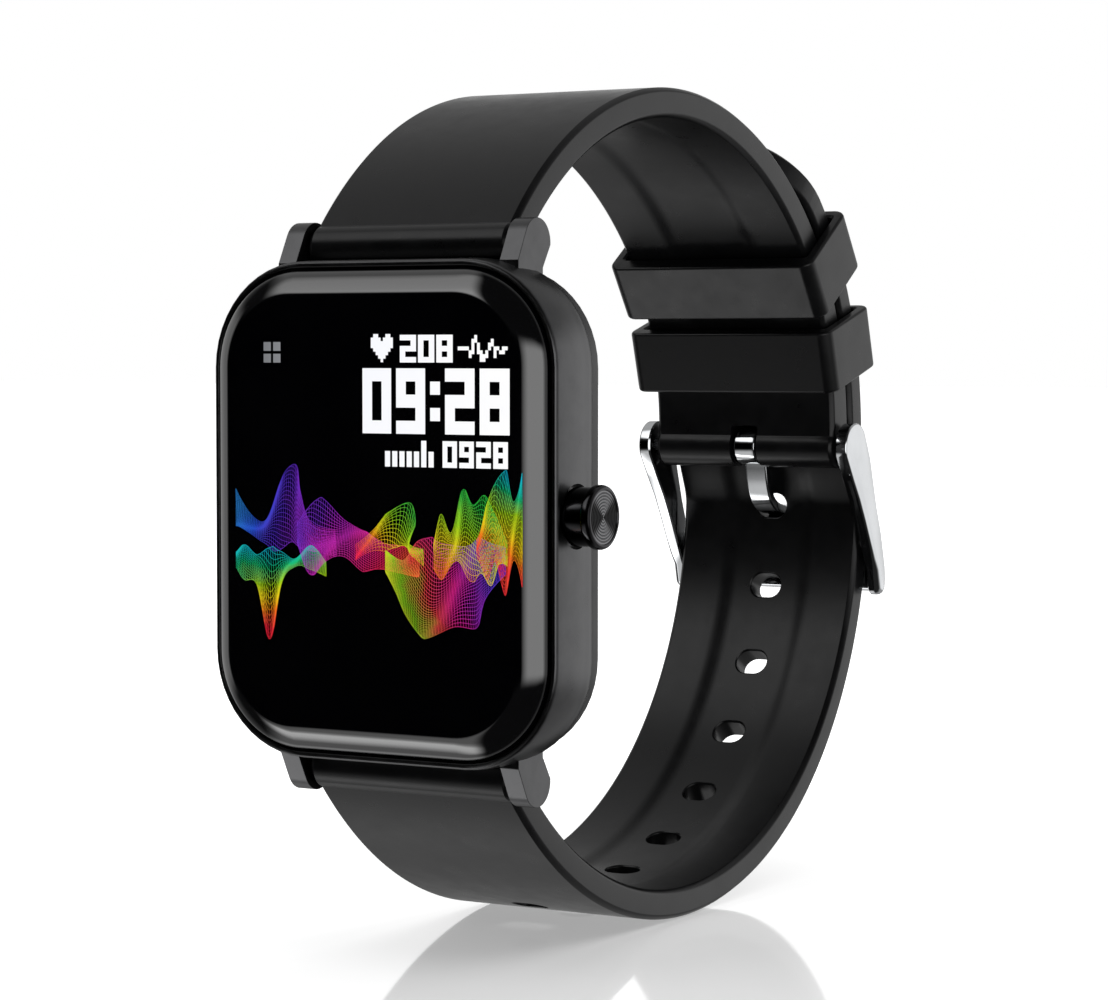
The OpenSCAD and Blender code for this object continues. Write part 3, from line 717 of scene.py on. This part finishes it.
def veil(bm, top, bottom, lines, ribs, lift, phase):
    """Net of fine lines between two curves; the lines crowd and cross as if the veil were folded."""
    def place(u, v):
        fold = min(max(v + 0.2 * math.sin(2 * math.pi * (1.3 * u + 0.5 * v + phase)), 0.0), 1.0)
        spot = along_curve(top, u).lerp(along_curve(bottom, u), fold)
        return min(max(spot.x, -13.8), 15.0), spot.y

    for k in range(lines):
        v = k / (lines - 1)
        ribbon(bm, [place(i / 64, v) for i in range(65)], 0.032, lift)
    for k in range(ribs):
        u = k / ribs
        lean = 0.6 / ribs
        ribbon(bm, [place(min(u + lean * i / 3, 1.0), i / 12) for i in range(13)], 0.026, lift)


COOL = ["2f86d8", "2a50d0", "5632c8", "8a2cc0", "c02ab0"]
LEAF = ["18b8d8", "20c878", "a8dc20", "f8d820", "ff7a20", "ff2840"]
ROSE = ["7a34d0", "b82cc8", "ec2f9c", "ff2a60", "ff5a30"]
BERRY = ["f0e430", "90d828", "ff4a50", "f02a98", "a030c8", "5b3ad0"]
SUN = ["ff3050", "ff7a20", "f8dc20", "a0e024", "34c848"]
# Each veil: top curve, bottom curve, lines, ribs, colours, their direction and its two ends
VEILS = [
    ([(-13.8, 1.8), (-12.2, 0.1), (-10.6, -0.4), (-9.4, 1.9), (-8.5, 3.5), (-7.4, 3.9), (-7.0, 1.6),
      (-6.0, -0.4), (-3.4, -0.8)],
     [(-13.8, -1.4), (-12.4, -2.4), (-11.0, -3.2), (-9.4, -3.4), (-8.0, -2.6), (-7.2, -3.0), (-5.6, -3.8),
      (-3.4, -4.4)],
     27, 45, COOL, (1, -0.3), -14, -4),
    ([(-13.8, -3.4), (-12.8, -3.0), (-11.6, -3.8), (-10.4, -3.2), (-9.0, -3.0), (-7.6, -3.8),
      (-6.0, -2.8), (-4.4, -4.2)],
     [(-13.8, -5.2), (-12.9, -6.0), (-11.6, -6.4), (-10.3, -11.0), (-9.0, -6.6), (-7.8, -5.0),
      (-6.4, -4.8), (-4.4, -5.4)],
     21, 40, LEAF, (0.15, -1), 1.6, 8.5),
    ([(-7.4, -1.0), (-5.6, 0.9), (-3.8, 1.4), (-2.0, 0.1), (-0.4, -1.4), (1.4, -2.4), (3.2, -2.6),
      (5.0, -3.0)],
     [(-7.4, -2.6), (-6.2, -5.2), (-4.6, -5.0), (-2.6, -4.6), (-0.8, -4.9), (1.0, -4.6), (3.2, -4.9),
      (5.0, -5.2)],
     27, 50, ROSE, (0.8, -0.8), -4, 7),
    ([(-1.4, -2.4), (0.4, -0.9), (2.0, 0.2), (4.1, 1.0), (4.6, -0.8), (3.8, -2.0), (5.4, -2.6)],
     [(-1.4, -4.2), (0.2, -3.6), (1.8, -3.0), (2.8, -2.7), (3.6, -2.6), (4.2, -3.6), (5.4, -4.4)],
     16, 30, SUN, (1, 1.2), -5, 4.4),
    ([(1.6, -3.0), (3.4, -3.8), (4.8, -2.2), (6.6, -1.6), (8.4, -0.2), (10.2, -1.2), (11.6, -2.0),
      (13.4, -2.4)],
     [(1.6, -4.8), (2.6, -6.4), (3.8, -8.6), (5.8, -10.6), (8.2, -11.4), (10.4, -10.2), (11.4, -6.8),
      (13.4, -4.6)],
     37, 60, BERRY, (1, 0.35), -0.8, 10.5),
    ([(6.4, -2.4), (7.2, 0.4), (8.0, -0.6), (9.0, 2.9), (10.2, 1.0), (11.4, 1.8), (12.4, 0.2), (13.6, -1.6)],
     [(6.4, -4.4), (7.4, -5.4), (8.8, -4.4), (9.8, -6.0), (11.0, -4.6), (12.0, -5.6), (12.8, -3.8),
      (13.6, -4.4)],
     25, 45, SUN, (0.5, 1), -4, 6.4),
    ([(10.6, -1.4), (11.4, 0.6), (12.4, 2.8), (13.5, 3.9), (14.2, 2.9), (15.0, 3.7)],
     [(10.6, -3.8), (11.6, -5.2), (12.4, -3.6), (13.4, -6.4), (14.2, -5.0), (15.0, -5.6)],
     22, 35, list(reversed(LEAF)), (0.6, 1), 3.5, 12),
]


def make_display():
    white = lit_art("lit_white", [(0.0, linear("f4f6ff")), (1.0, linear("ffffff"))], (1, 0), -14, 15, 1.0)
    grey = lit_art("lit_grey", [(0.0, linear("8c8e92")), (1.0, linear("a4a6aa"))], (1, 0), -11, -8, 0.7)
    for name, maker, material in (
            ("time_digits", clock_face, white), ("pulse_row", pulse_row, white),
            ("date_row", date_row, white), ("menu_icon", corner_icon, grey)):
        finish_piece(build(name, maker), material, "case", ())
    for k, (top, bottom, lines, ribs, colours, way, low, high) in enumerate(VEILS):
        stops = [(i / (len(colours) - 1), linear(c)) for i, c in enumerate(colours)]
        art = lit_art(f"lit_veil_{k}", stops, way, low, high, 0.85)
        made = build(f"wave_veil_{k}", veil, top, bottom, lines, ribs, 0.002 * k, 0.37 * k)
        finish_piece(made, art, "case", ())


# ---------- crown ----------
def crown_body(bm):
    base, face = cap_low.x, CROWN_FACE
    waist = CROWN_R - 0.22
    profile = [(base, 0), (base, waist - 0.15), (base + 0.12, waist), (face - 1.0, waist),
               (face - 0.86, waist + 0.04), (face - 0.78, CROWN_R - 0.03), (face - 0.7, CROWN_R),
               (face - 0.3, CROWN_R), (face - 0.12, CROWN_R - 0.07), (face - 0.02, CROWN_R - 0.22),
               (face, CROWN_R - 0.3), (face - 0.02, CROWN_R - 0.4), (face - 0.1, CROWN_R - 0.46)]
    grooves, outer = 9, CROWN_R - 0.5
    for k in range(grooves):
        r = outer * (1 - k / grooves)
        pitch = outer / grooves
        profile += [(face - 0.1, r), (face - 0.1, r - 0.35 * pitch), (face - 0.135, r - 0.5 * pitch),
                    (face - 0.135, r - 0.85 * pitch)]
    profile = [p for p in profile if p[1] > 0.02 or p == profile[0]] + [(face - 0.12, 0)]
    lathe(bm, profile, "x", Vector((0, CROWN.y, CROWN.z)), 96)


def make_crown():
    finish_piece(build("crown_knob", crown_body), MATERIALS["crown_black"], "crown",
                 ["crown_cap"], 28)


# ---------- strap ----------
def section(half, outer, inner, edge, channel):
    """Closed cross-section as (x, height): flat outside, shallow channel inside, chamfered edges."""
    edge = min(edge, half * 0.45, outer * 0.6, inner * 0.6)
    corner = [(1.0, 0.0), (0.86, 0.03), (0.26, 0.5), (0.1, 0.7), (0.0, 1.0)]
    side = [(half - edge * a, outer - edge * b) for a, b in corner]
    side += [(half - edge * a, -inner + edge * b) for a, b in reversed(corner)]
    crease = [(0.8, 0.0), (0.64, 0.0), (0.54, 0.03), (0.49, 0.15), (0.45, 0.4), (0.41, 0.65), (0.37, 0.87),
              (0.32, 0.97), (0.2, 1.0)]
    inside = [(half * x, -inner + channel * f) for x, f in crease]
    right = [(half * x, outer) for x in (0.33, 0.66)] + side + inside
    left = [(-x, h) for x, h in reversed(right)]
    return [(0, outer)] + right + [(0, -inner + channel)] + left


def stations(path, start_extra, end_extra):
    """(pose, distance) along a path that runs on straight past both its ends."""
    made = [(shifted(path[0], s, 0), s) for s in start_extra]
    run = 0.0
    for k, pose in enumerate(path):
        if k:
            run += math.dist(pose[:2], path[k - 1][:2])
        made.append((pose, run))
    made += [(shifted(path[-1], s, 0), run + s) for s in end_extra]
    return made, run


def sweep(bm, spots, shape, outward):
    """Skins a strap; shape(distance) gives half width, outer and inner height, and channel depth."""
    rings = []
    for pose, run in spots:
        half, outer, inner, channel = shape(run)
        ring = []
        for x, h in section(half, outer, inner, 0.5, channel):
            y, z, _ = shifted(pose, 0, outward * h)
            ring.append((x, y, z))
        rings.append(ring)
    loft(bm, rings)


def knuckle_height(run, plain):
    """Half thickness near the round strap end about run 0."""
    least = plain if run > 0 else 0.05
    if abs(run) >= KNUCKLE_R:
        return least
    return max(math.sqrt(KNUCKLE_R * KNUCKLE_R - run * run), least)


NEAR_END = [-1.74, -1.7, -1.6, -1.45, -1.2, -0.9, -0.5]
AFTER_START = [0.25, 0.5, 0.7, 0.85, 0.97, 1.08, 1.14]
EASE = 6.0


def ease(value):
    value = min(max(value, 0.0), 1.0)
    return value * value * (3 - 2 * value)


def upper_strap(bm):
    spots, length = stations(upper_path, NEAR_END, [0.5, 0.9, 1.3, 1.6, 1.85, 2.0, 2.07, 2.09])
    spots = thicken_spots(spots, length)

    def shape(run):
        u = ease((run - 30) / (length - 30))
        plain = (STRAP_T + (MID_T - STRAP_T) * u) / 2
        half_t = knuckle_height(run, plain)
        left = length - run
        if left < PIN_END_T / 2:
            half_t = max(math.sqrt(max((PIN_END_T / 2) ** 2 - left * left, 0.0025)), plain if left > 0 else 0)
        channel = CHANNEL * ease((run - 4) / EASE) * ease((left - 7) / EASE)
        return STRAP_W / 2, half_t, half_t, channel

    sweep(bm, spots, shape, 1)


def thicken_spots(spots, length):
    """Adds stations where the strap's end rounds start, so that their creases stay crisp."""
    runs = [run for _, run in spots]
    extra = AFTER_START + [length - s for s in (0.5, 0.8, 1.0, 1.12, 1.2)]
    made = list(spots)
    for run in extra:
        if min(abs(run - r) for r in runs) > 0.04:
            made.append((pose_at(spots, run), run))
    return sorted(made, key=lambda spot: spot[1])


def pose_at(spots, run):
    for (a, ra), (b, rb) in zip(spots, spots[1:]):
        if ra <= run <= rb:
            u = (run - ra) / (rb - ra)
            return tuple(p + (q - p) * u for p, q in zip(a, b))
    return spots[-1][0]


def lower_strap(bm):
    tip_r = STRAP_W / 2
    fine = [tip_r * (1 - math.cos(math.radians(90 * k / 12))) for k in range(13)]
    spots, length = stations(lower_path, NEAR_END, [])
    spots = thicken_spots(spots, length)
    runs = [run for _, run in spots]
    for left in fine:
        run = length - max(left, 0.012)
        if min(abs(run - r) for r in runs) > 0.05:
            spots.append((pose_at(spots, run), run))
    spots.sort(key=lambda spot: spot[1])

    def shape(run):
        left = max(length - run, 0.012)
        half = STRAP_W / 2
        if left < tip_r:
            half = math.sqrt(max(tip_r * tip_r - (tip_r - left) ** 2, 0.01))
        half_t = knuckle_height(run, STRAP_T / 2)
        channel = CHANNEL * ease((run - 4) / EASE) * ease((left - 28) / EASE)
        return half, half_t, half_t, channel

    sweep(bm, spots, shape, -1)


def oval(width, height, count=12):
    """Outline of an oval with straight sides, wider than high."""
    half, r = (width - height) / 2, height / 2
    points = []
    for side, start in ((1, -90), (-1, 90)):
        for k in range(count + 1):
            a = math.radians(start + 180 * k / count)
            points.append((side * half + r * math.cos(a), r * math.sin(a)))
    return points


def hole_cutter(bm, pose):
    """Oval hole whose rim flares a little at both faces of the strap."""
    inner, outer, flare = STRAP_T / 2 - CHANNEL, STRAP_T / 2, 0.16
    heights = [(-outer - 0.6, flare), (-outer - 0.02, flare), (-outer + 0.06, flare / 3), (-outer + 0.18, 0),
               (inner - 0.18, 0), (inner - 0.06, flare / 3), (inner + 0.02, flare), (inner + 0.8, flare)]
    rings = []
    for height, grow in heights:
        ring = []
        for x, along in oval(HOLE_SIZE[0] + 2 * grow, HOLE_SIZE[1] + 2 * grow):
            y, z, _ = shifted(pose, along, height)
            ring.append((x, y, z))
        rings.append(ring)
    loft(bm, rings)


def strap_cuts(bm, side):
    """Spring bar bore, with more room in the lower strap."""
    rod(bm, -STRAP_W, STRAP_W, 0.8 if side > 0 else 0.95, Vector((0, BAR.y, side * BAR.z)), 32)


def tang_notch(bm):
    """Opening in the upper strap's end round the tang's ring, with rounded corners."""
    width, height = TANG_W + 0.6, 8.0
    middle = PIN.z + 2.15 - height / 2
    loft(bm, [[(x, y, z + middle) for x, z in rounded_rect(width, height, 0.35, 5, 2)]
              for y in (PIN.y - 4, PIN.y + 4)])


def pin_bore(bm, radius, half, count=48):
    rod(bm, -half, half, radius, PIN, count)


def make_straps():
    upper = build("strap_upper", upper_strap)
    combine(upper, build("bore", strap_cuts, 1), "DIFFERENCE")
    combine(upper, build("notch", tang_notch), "DIFFERENCE")
    combine(upper, build("pin_bore", pin_bore, 0.8, STRAP_W, 32), "DIFFERENCE")
    finish_piece(upper, MATERIALS["silicone"], None, ["upper_strap_front", "upper_strap_rear"],
                 34, True)
    blend_at(upper, turned(UPPER_START, UPPER_R, UPPER_FLEX_TURN))

    lower = build("strap_lower", lower_strap)
    combine(lower, build("bore", strap_cuts, -1), "DIFFERENCE")
    for k in range(HOLE_COUNT):
        combine(lower, build("hole", hole_cutter, hole_pose(k)), "DIFFERENCE")
    finish_piece(lower, MATERIALS["silicone"], None, ["lower_strap_front", "lower_strap_tail"],
                 34, True)
    blend_at(lower, turned(LOWER_START, LOWER_R, LOWER_FLEX_TURN))


def blend_at(piece, pose, reach=5.0):
    """Works out a stretch each side of a strap's flex line, but only bakes the strap's transform into its
    mesh.
    """
    start, end = shifted(pose, -reach, 0), shifted(pose, reach, 0)
    start, end = ((0, spot[0] * MM, spot[1] * MM) for spot in (start, end))
    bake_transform(piece)


# ---------- keepers ----------
def keeper(bm, turn):
    """Loop round both straps at a turn along the upper strap's end, with rounded outer edges."""
    share = turn / UPPER_END_TURN
    thick = end_thickness(share)
    clear, wall, inner_wall, length = 0.35, 1.1, 1.7, 6.3
    low = -thick / 2 - clear
    high = thick / 2 + TAIL_GAP + STRAP_T + clear - 0.1
    half = STRAP_W / 2 + 0.2
    pose = turned(upper_mid_end, BUCKLE_END_R, turn)
    outer_size = (2 * (half + wall), high - low + wall + inner_wall)
    outer_mid = (high + low) / 2 + (wall - inner_wall) / 2
    edge = 0.28
    loop = []
    for k in range(4):
        a = math.radians(30 * k)
        loop.append((edge * (1 - math.sin(a)), -length / 2 + edge * (1 - math.cos(a)), 0))
    for k in range(4):
        a = math.radians(30 * k)
        loop.append((edge * (1 - math.cos(a)), length / 2 - edge * (1 - math.sin(a)), 0))
    loop += [(-0.2, length / 2, 1), (0, length / 2 - 0.2, 1), (0, -length / 2 + 0.2, 1),
             (-0.2, -length / 2, 1)]
    rings = []
    for inset, along, inside in loop:
        if inside:
            flat = rounded_rect(2 * half - 2 * inset, high - low - 2 * inset, 0.5, 6, 4)
            middle = (high + low) / 2
        else:
            flat = rounded_rect(outer_size[0] - 2 * inset, outer_size[1] - 2 * inset, 1.3 - inset, 6, 4)
            middle = outer_mid
        ring = []
        for x, h in flat:
            y, z, _ = shifted(pose, along, h + middle)
            ring.append((x, y, z))
        rings.append(ring)
    loft(bm, rings, closed=True)


def make_keepers():
    for name, node, body, turn in (("keeper_free", "free_keeper", "sliding_keeper", FREE_KEEPER_TURN),
                                   ("keeper_fixed", "fixed_keeper", "band", FIXED_KEEPER_TURN)):
        finish_piece(build(name, keeper, turn), MATERIALS["silicone"], body, [node], 34, True)


# ---------- buckle ----------
CROSSBAR_T = 1.2
CROSSBAR_L = 5.4
crossbar_pose = turned(lower_mid_end, TAIL_R, LOWER_END_TURN - math.degrees(5.6 / TAIL_R))
crossbar_at = shifted(crossbar_pose, 0, -(STRAP_T / 2 + 0.25 + CROSSBAR_T / 2))


def plate_outline():
    """Side plate in (y, z) with its edge rounding: a round head that runs down to the crossbar."""
    pin = Vector((PIN.y, PIN.z))
    bar = Vector(crossbar_at[:2])
    way = (bar - pin).normalized()
    side = Vector((-way.y, way.x))
    reach = (bar - pin).length
    base = math.degrees(math.atan2(way.y, way.x))
    along, beside = Vector(forward(crossbar_pose)), Vector(normal(crossbar_pose))
    half = (CROSSBAR_L - CROSSBAR_T) / 2
    points = []
    for k in range(19):
        a = math.radians(base + 100 + 160 * k / 18)
        points.append(pin + 2.5 * Vector((math.cos(a), math.sin(a))))
    inner = [(2.6, -2.25), (5.0, -2.0), (7.5, -1.95), (reach - 4, -2.0), (reach - 2, -2.1),
             (reach - 0.6, -2.1)]
    points += [pin + way * a + side * b for a, b in inner]
    foot = bar - half * along + 0.4 * beside
    for k in range(15):
        a = math.radians(crossbar_pose[2] + 125 + 140 * k / 14)
        points.append(foot + Vector((math.cos(a), math.sin(a))))
    points += [bar - 0.6 * half * along - 0.5 * beside, bar - 0.1 * beside]
    outer = [(reach - 3.6, 0.75), (7.5, 1.2), (5.0, 1.75), (2.6, 2.3)]
    points += [pin + way * a + side * b for a, b in outer]
    return points, [0.22 + 0.4 * ease((4.5 - (p - foot).length) / 3) for p in points]


def crossbar_outline():
    half = (CROSSBAR_L - CROSSBAR_T) / 2
    points = []
    for end, start in ((half, -90), (-half, 90)):
        for k in range(9):
            a = math.radians(start + 180 * k / 8)
            y, z, _ = shifted((crossbar_at[0], crossbar_at[1], crossbar_pose[2]),
                              end + CROSSBAR_T / 2 * math.cos(a), CROSSBAR_T / 2 * math.sin(a))
            points.append((y, z))
    return points


def side_plate(bm, hand):
    """Plate whose outer edges are rounded, most of all where it turns into the crossbar."""
    inner = STRAP_W / 2 + 0.5
    points, edges = plate_outline()
    count = len(points)
    inward = []
    for k in range(count):
        way = (points[(k + 1) % count] - points[k - 1]).normalized()
        inward.append(Vector((-way.y, way.x)))
    rings = [[(inner, *(p + 0.15 * n)) for p, n in zip(points, inward)]]
    rings.append([(inner + 0.15, *p) for p in points])
    for k in range(5):
        a = math.radians(22.5 * k)
        rings.append([(inner + 1.3 - e * (1 - math.sin(a)), *(p + e * (1 - math.cos(a)) * n))
                      for p, n, e in zip(points, inward, edges)])
    loft(bm, [[(hand * x, y, z) for x, y, z in ring] for ring in rings])


def crossbar(bm):
    half = STRAP_W / 2 + 0.9
    prism(bm, crossbar_outline(), -half, half)


def make_buckle():
    buckle = build("buckle_loop", side_plate, 1)
    combine(buckle, build("plate", side_plate, -1), "UNION")
    combine(buckle, build("bar", crossbar), "UNION")
    combine(buckle, build("pin_bore", pin_bore, 0.75, STRAP_W / 2 + 1.45), "DIFFERENCE")
    finish_piece(buckle, MATERIALS["buckle_chrome"], "buckle", ["buckle_frame"], 30)
    made = build("buckle_tang_strip", tang_strip)
    finish_piece(made, MATERIALS["buckle_chrome"], "buckle_tang", ["tang"], 34, True)


def tang_line():
    """Centre line of the tang in (y, z): rolled round the pin, through its hole and on to the crossbar."""
    roll = 0.8 + TANG_T / 2
    points = []
    for k in range(21):
        a = math.radians(80 + 250 * k / 20)
        points.append(Vector((PIN.y + roll * math.cos(a), PIN.z + roll * math.sin(a))))
    hole = Vector(tang_hole[:2])
    rest = Vector(crossbar_at[:2]) - (CROSSBAR_T / 2 + TANG_T / 2 + 0.1) * Vector(normal(crossbar_pose))
    over = rest + 2.6 * Vector(forward(crossbar_pose)) + Vector((0.05, 0))
    knee = Vector((PIN.y + 1.9, PIN.z - 4.9))
    return points + [knee, hole + Vector((-1.8, -0.25)), hole + Vector((1.5, -0.5)), over, rest]


def rounded_line(points, turns=3):
    """Corner cutting that keeps both ends."""
    for _ in range(turns):
        made = [points[0]]
        for a, b in zip(points, points[1:]):
            made += [a.lerp(b, 0.25), a.lerp(b, 0.75)]
        points = made + [points[-1]]
    return points


def tang_strip(bm):
    line = rounded_line(tang_line(), 2)
    half, thick, edge = TANG_W / 2, TANG_T / 2, 0.2
    flat = rounded_rect(2 * half, 2 * thick, edge, 4, 3)
    rings = []
    for k, spot in enumerate(line):
        way = line[min(k + 1, len(line) - 1)] - line[max(k - 1, 0)]
        way.normalize()
        side = Vector((-way.y, way.x))
        rings.append([(x, spot.x + side.x * h, spot.y + side.y * h) for x, h in flat])
    loft(bm, rings)


# ---------- case back ----------
def back_cover(bm):
    inset = CASE[0] / 2 - cover_high.x
    depth = cover_high.y
    size = (CASE[0] - 2 * inset, CASE[1] - 2 * inset, CASE[2] - inset)
    profile = [(0.05, REAR), (0, REAR + 0.08), (0, depth - 0.75)]
    for k in range(1, 9):
        a = math.radians(90 * k / 8)
        profile.append((0.75 * (1 - math.cos(a)), depth - 0.75 + 0.75 * math.sin(a)))
    loft(bm, depth_rings(size, profile))


def cover_bore(bm, x, z, radius, chamfer, drop, shank=None, count=40):
    """Bore through the rear cover with a chamfered rim; a shank makes it narrower below a screw's head."""
    top = cover_high.y
    start = [(REAR - 1, radius)]
    if shank:
        start = [(REAR - 1, shank), (top - SCREW_HEAD_T, shank), (top - SCREW_HEAD_T, radius)]
    rim = [(top - drop, radius), (top + 0.02, radius + chamfer), (top + 1, radius + chamfer)]
    lathe(bm, [(REAR - 1, 0)] + start + rim + [(top + 1, 0)], "y", Vector((x, 0, z)), count)


def back_cuts(bm):
    """Openings for the sensor window, the four screws and the two contacts."""
    cover_bore(bm, 0, 0, WINDOW_R, 0.15, 0.12, count=96)
    for x in (-SCREW_AT[0], SCREW_AT[0]):
        for z in (-SCREW_AT[1], SCREW_AT[1]):
            cover_bore(bm, x, z, 1.1, 0.12, 0.1, shank=0.55)
    for x in (-CONTACT_AT[0], CONTACT_AT[0]):
        cover_bore(bm, x, CONTACT_AT[1], 0.95, 0.1, 0.08)


def make_back():
    cover = build("back_cover", back_cover)
    combine(cover, build("cuts", back_cuts), "DIFFERENCE")
    finish_piece(cover, MATERIALS["black_plastic"], "case", ["rear_cover"], 30)


# ---------- scene ----------
def make_floor():
    """Pale glossy floor that lies under the watch and runs into the white behind it."""
    bm = bmesh.new()
    bmesh.ops.create_grid(bm, x_segments=2, y_segments=2, size=4000)
    bmesh.ops.translate(bm, verts=bm.verts, vec=(0, 0, CAD_BOX[0].z / MM))
    floor = new_object("floor", bm)
    material, g = new_material("floor_white")
    where = g.place()
    middle = (0, 0.02, CAD_BOX[0].z)
    away = g.node("ShaderNodeVectorMath", {0: where, 1: middle}, operation="DISTANCE").outputs["Value"]
    # Painted light: the floor glows instead of being lit, weakly within about 6 cm of the watch so that real
    # shadow and reflection show there, and almost white further out, where its gloss fades off
    far = g.step(away, 0.06, 0.12)
    g.surface({
        "Base Color": g.ramp(g.noise(where, 40), [(0.3, linear("f6f6f6")), (0.7, linear("fafafa"))]),
        "Roughness": g.spread(g.noise(where, 25), 0.05, 0.07), "IOR": 1.8,
        "Specular IOR Level": g.spread(far, 0.5, 0.0, 0.0, 1.0),
        "Emission Color": linear("ffffff"), "Emission Strength": g.spread(far, 0.34, 0.9, 0.0, 1.0),
    })
    finish_piece(floor, material, None)
    floor.visible_glossy = False


def make_world():
    """Studio surroundings: dark in front of the glass, soft boxes round it and white behind the watch."""
    world = bpy.data.worlds.new("studio")
    bpy.context.scene.world = world
    world.use_nodes = True
    g = Graph(world.node_tree)
    way = g.node("ShaderNodeTexCoord").outputs["Generated"]
    parts = g.node("ShaderNodeSeparateXYZ", {0: way}).outputs
    up = parts["Z"]
    turn = g.spread(g.math("ARCTAN2", parts["Y"], parts["X"]), 0.0, 1.0, -math.pi, math.pi)
    # Brightness round the horizon, by angle from +X towards the case back
    horizon = [(-180, 0.35), (-168, 0.0), (-73, 0.0), (-59, 0.8), (-18, 0.8), (2, 0.2), (20, 0.14),
               (34, 0.46), (72, 0.5), (90, 0.2), (100, 0.3), (106, 0.5), (136, 0.5), (140, 0.3),
               (152, 0.34), (176, 0.26)]
    level = g.ramp(turn, [((a + 180) / 360, (v, v, v, 1)) for a, v in horizon])
    level = g.math("MULTIPLY", level, 2.0)
    # Overhead and underneath: a narrow strip box across the watch, by depth, in a dim room
    depth = g.spread(parts["Y"], 0.0, 1.0, -1.0, 1.0)
    aside = g.math("ABSOLUTE", g.math("ADD", parts["X"], 0.508))
    strip = g.math("SUBTRACT", 1.0, g.step(aside, 0.14, 0.32))
    room = g.spread(parts["Y"], 0.02, 0.35, 0.0, 0.5)
    down = g.math("MULTIPLY", up, -1.0)
    above = [(-0.7, 0.66), (-0.55, 0.5), (-0.3, 0.42), (-0.16, 0.14), (0.1, 0.15), (0.6, 0.14)]
    below = [(-0.5, 0.2), (-0.43, 0.4), (-0.37, 0.95), (-0.28, 0.8), (-0.16, 0.17), (0.02, 0.15),
             (0.14, 0.28), (0.28, 0.3), (0.42, 0.14), (0.6, 0.12)]

    def strip_box(height, start, end, marks):
        lit = g.math("MULTIPLY", g.ramp(depth, [((y + 1) / 2, (v, v, v, 1)) for y, v in marks]), 3.0)
        shape = g.math("MULTIPLY", strip, g.step(height, start, end))
        return g.math("MAXIMUM", room, g.math("MULTIPLY", shape, lit))

    total = g.mix(g.step(up, 0.22, 0.4), level, strip_box(up, 0.38, 0.58, above))
    total = g.mix(g.step(down, 0.18, 0.36), total, strip_box(down, 0.25, 0.6, below))
    seen = g.node("ShaderNodeLightPath").outputs["Is Camera Ray"]
    strength = g.mix(seen, total, 1.0)
    shader = g.node("ShaderNodeBackground", {"Color": (1, 1, 1, 1), "Strength": strength})
    out = g.node("ShaderNodeOutputWorld")
    g.tree.links.new(shader.outputs[0], out.inputs["Surface"])


def area_light(name, at, aim, size, power):
    lamp = bpy.data.lights.new(name, "AREA")
    lamp.shape = "RECTANGLE"
    lamp.size, lamp.size_y = size
    lamp.energy = power
    made = bpy.data.objects.new(name, lamp)
    made.location = at
    made.rotation_mode = "QUATERNION"
    made.rotation_quaternion = (Vector(aim) - Vector(at)).to_track_quat("-Z", "Y")
    made.visible_camera = False
    made.visible_glossy = False
    bpy.context.scene.collection.objects.link(made)


def make_lights():
    area_light("top_light", (0.1, 0.05, 0.9), (0, 0.02, 0), (1.2, 1.2), 6)


def make_camera():
    """Three-quarter view from the crown side, slightly from above."""
    lens = bpy.data.cameras.new("camera")
    lens.lens = 104.4
    lens.clip_start, lens.clip_end = 0.01, 50
    camera = bpy.data.objects.new("camera", lens)
    camera.location = (0.15027, -0.23467, 0.01365)
    yaw, pitch = math.radians(30.589), math.radians(-2.658)
    look = Vector((-math.sin(yaw) * math.cos(pitch), math.cos(yaw) * math.cos(pitch), math.sin(pitch)))
    camera.rotation_mode = "QUATERNION"
    camera.rotation_quaternion = look.to_track_quat("-Z", "Y")
    bpy.context.scene.collection.objects.link(camera)
    bpy.context.scene.camera = camera


make_camera()
dress_cad_nodes()
make_case()
make_glass()
make_display()
make_crown()
make_straps()
make_keepers()
make_buckle()
make_back()
make_floor()
make_world()
make_lights()
bpy.context.scene.view_settings.view_transform = "Standard"
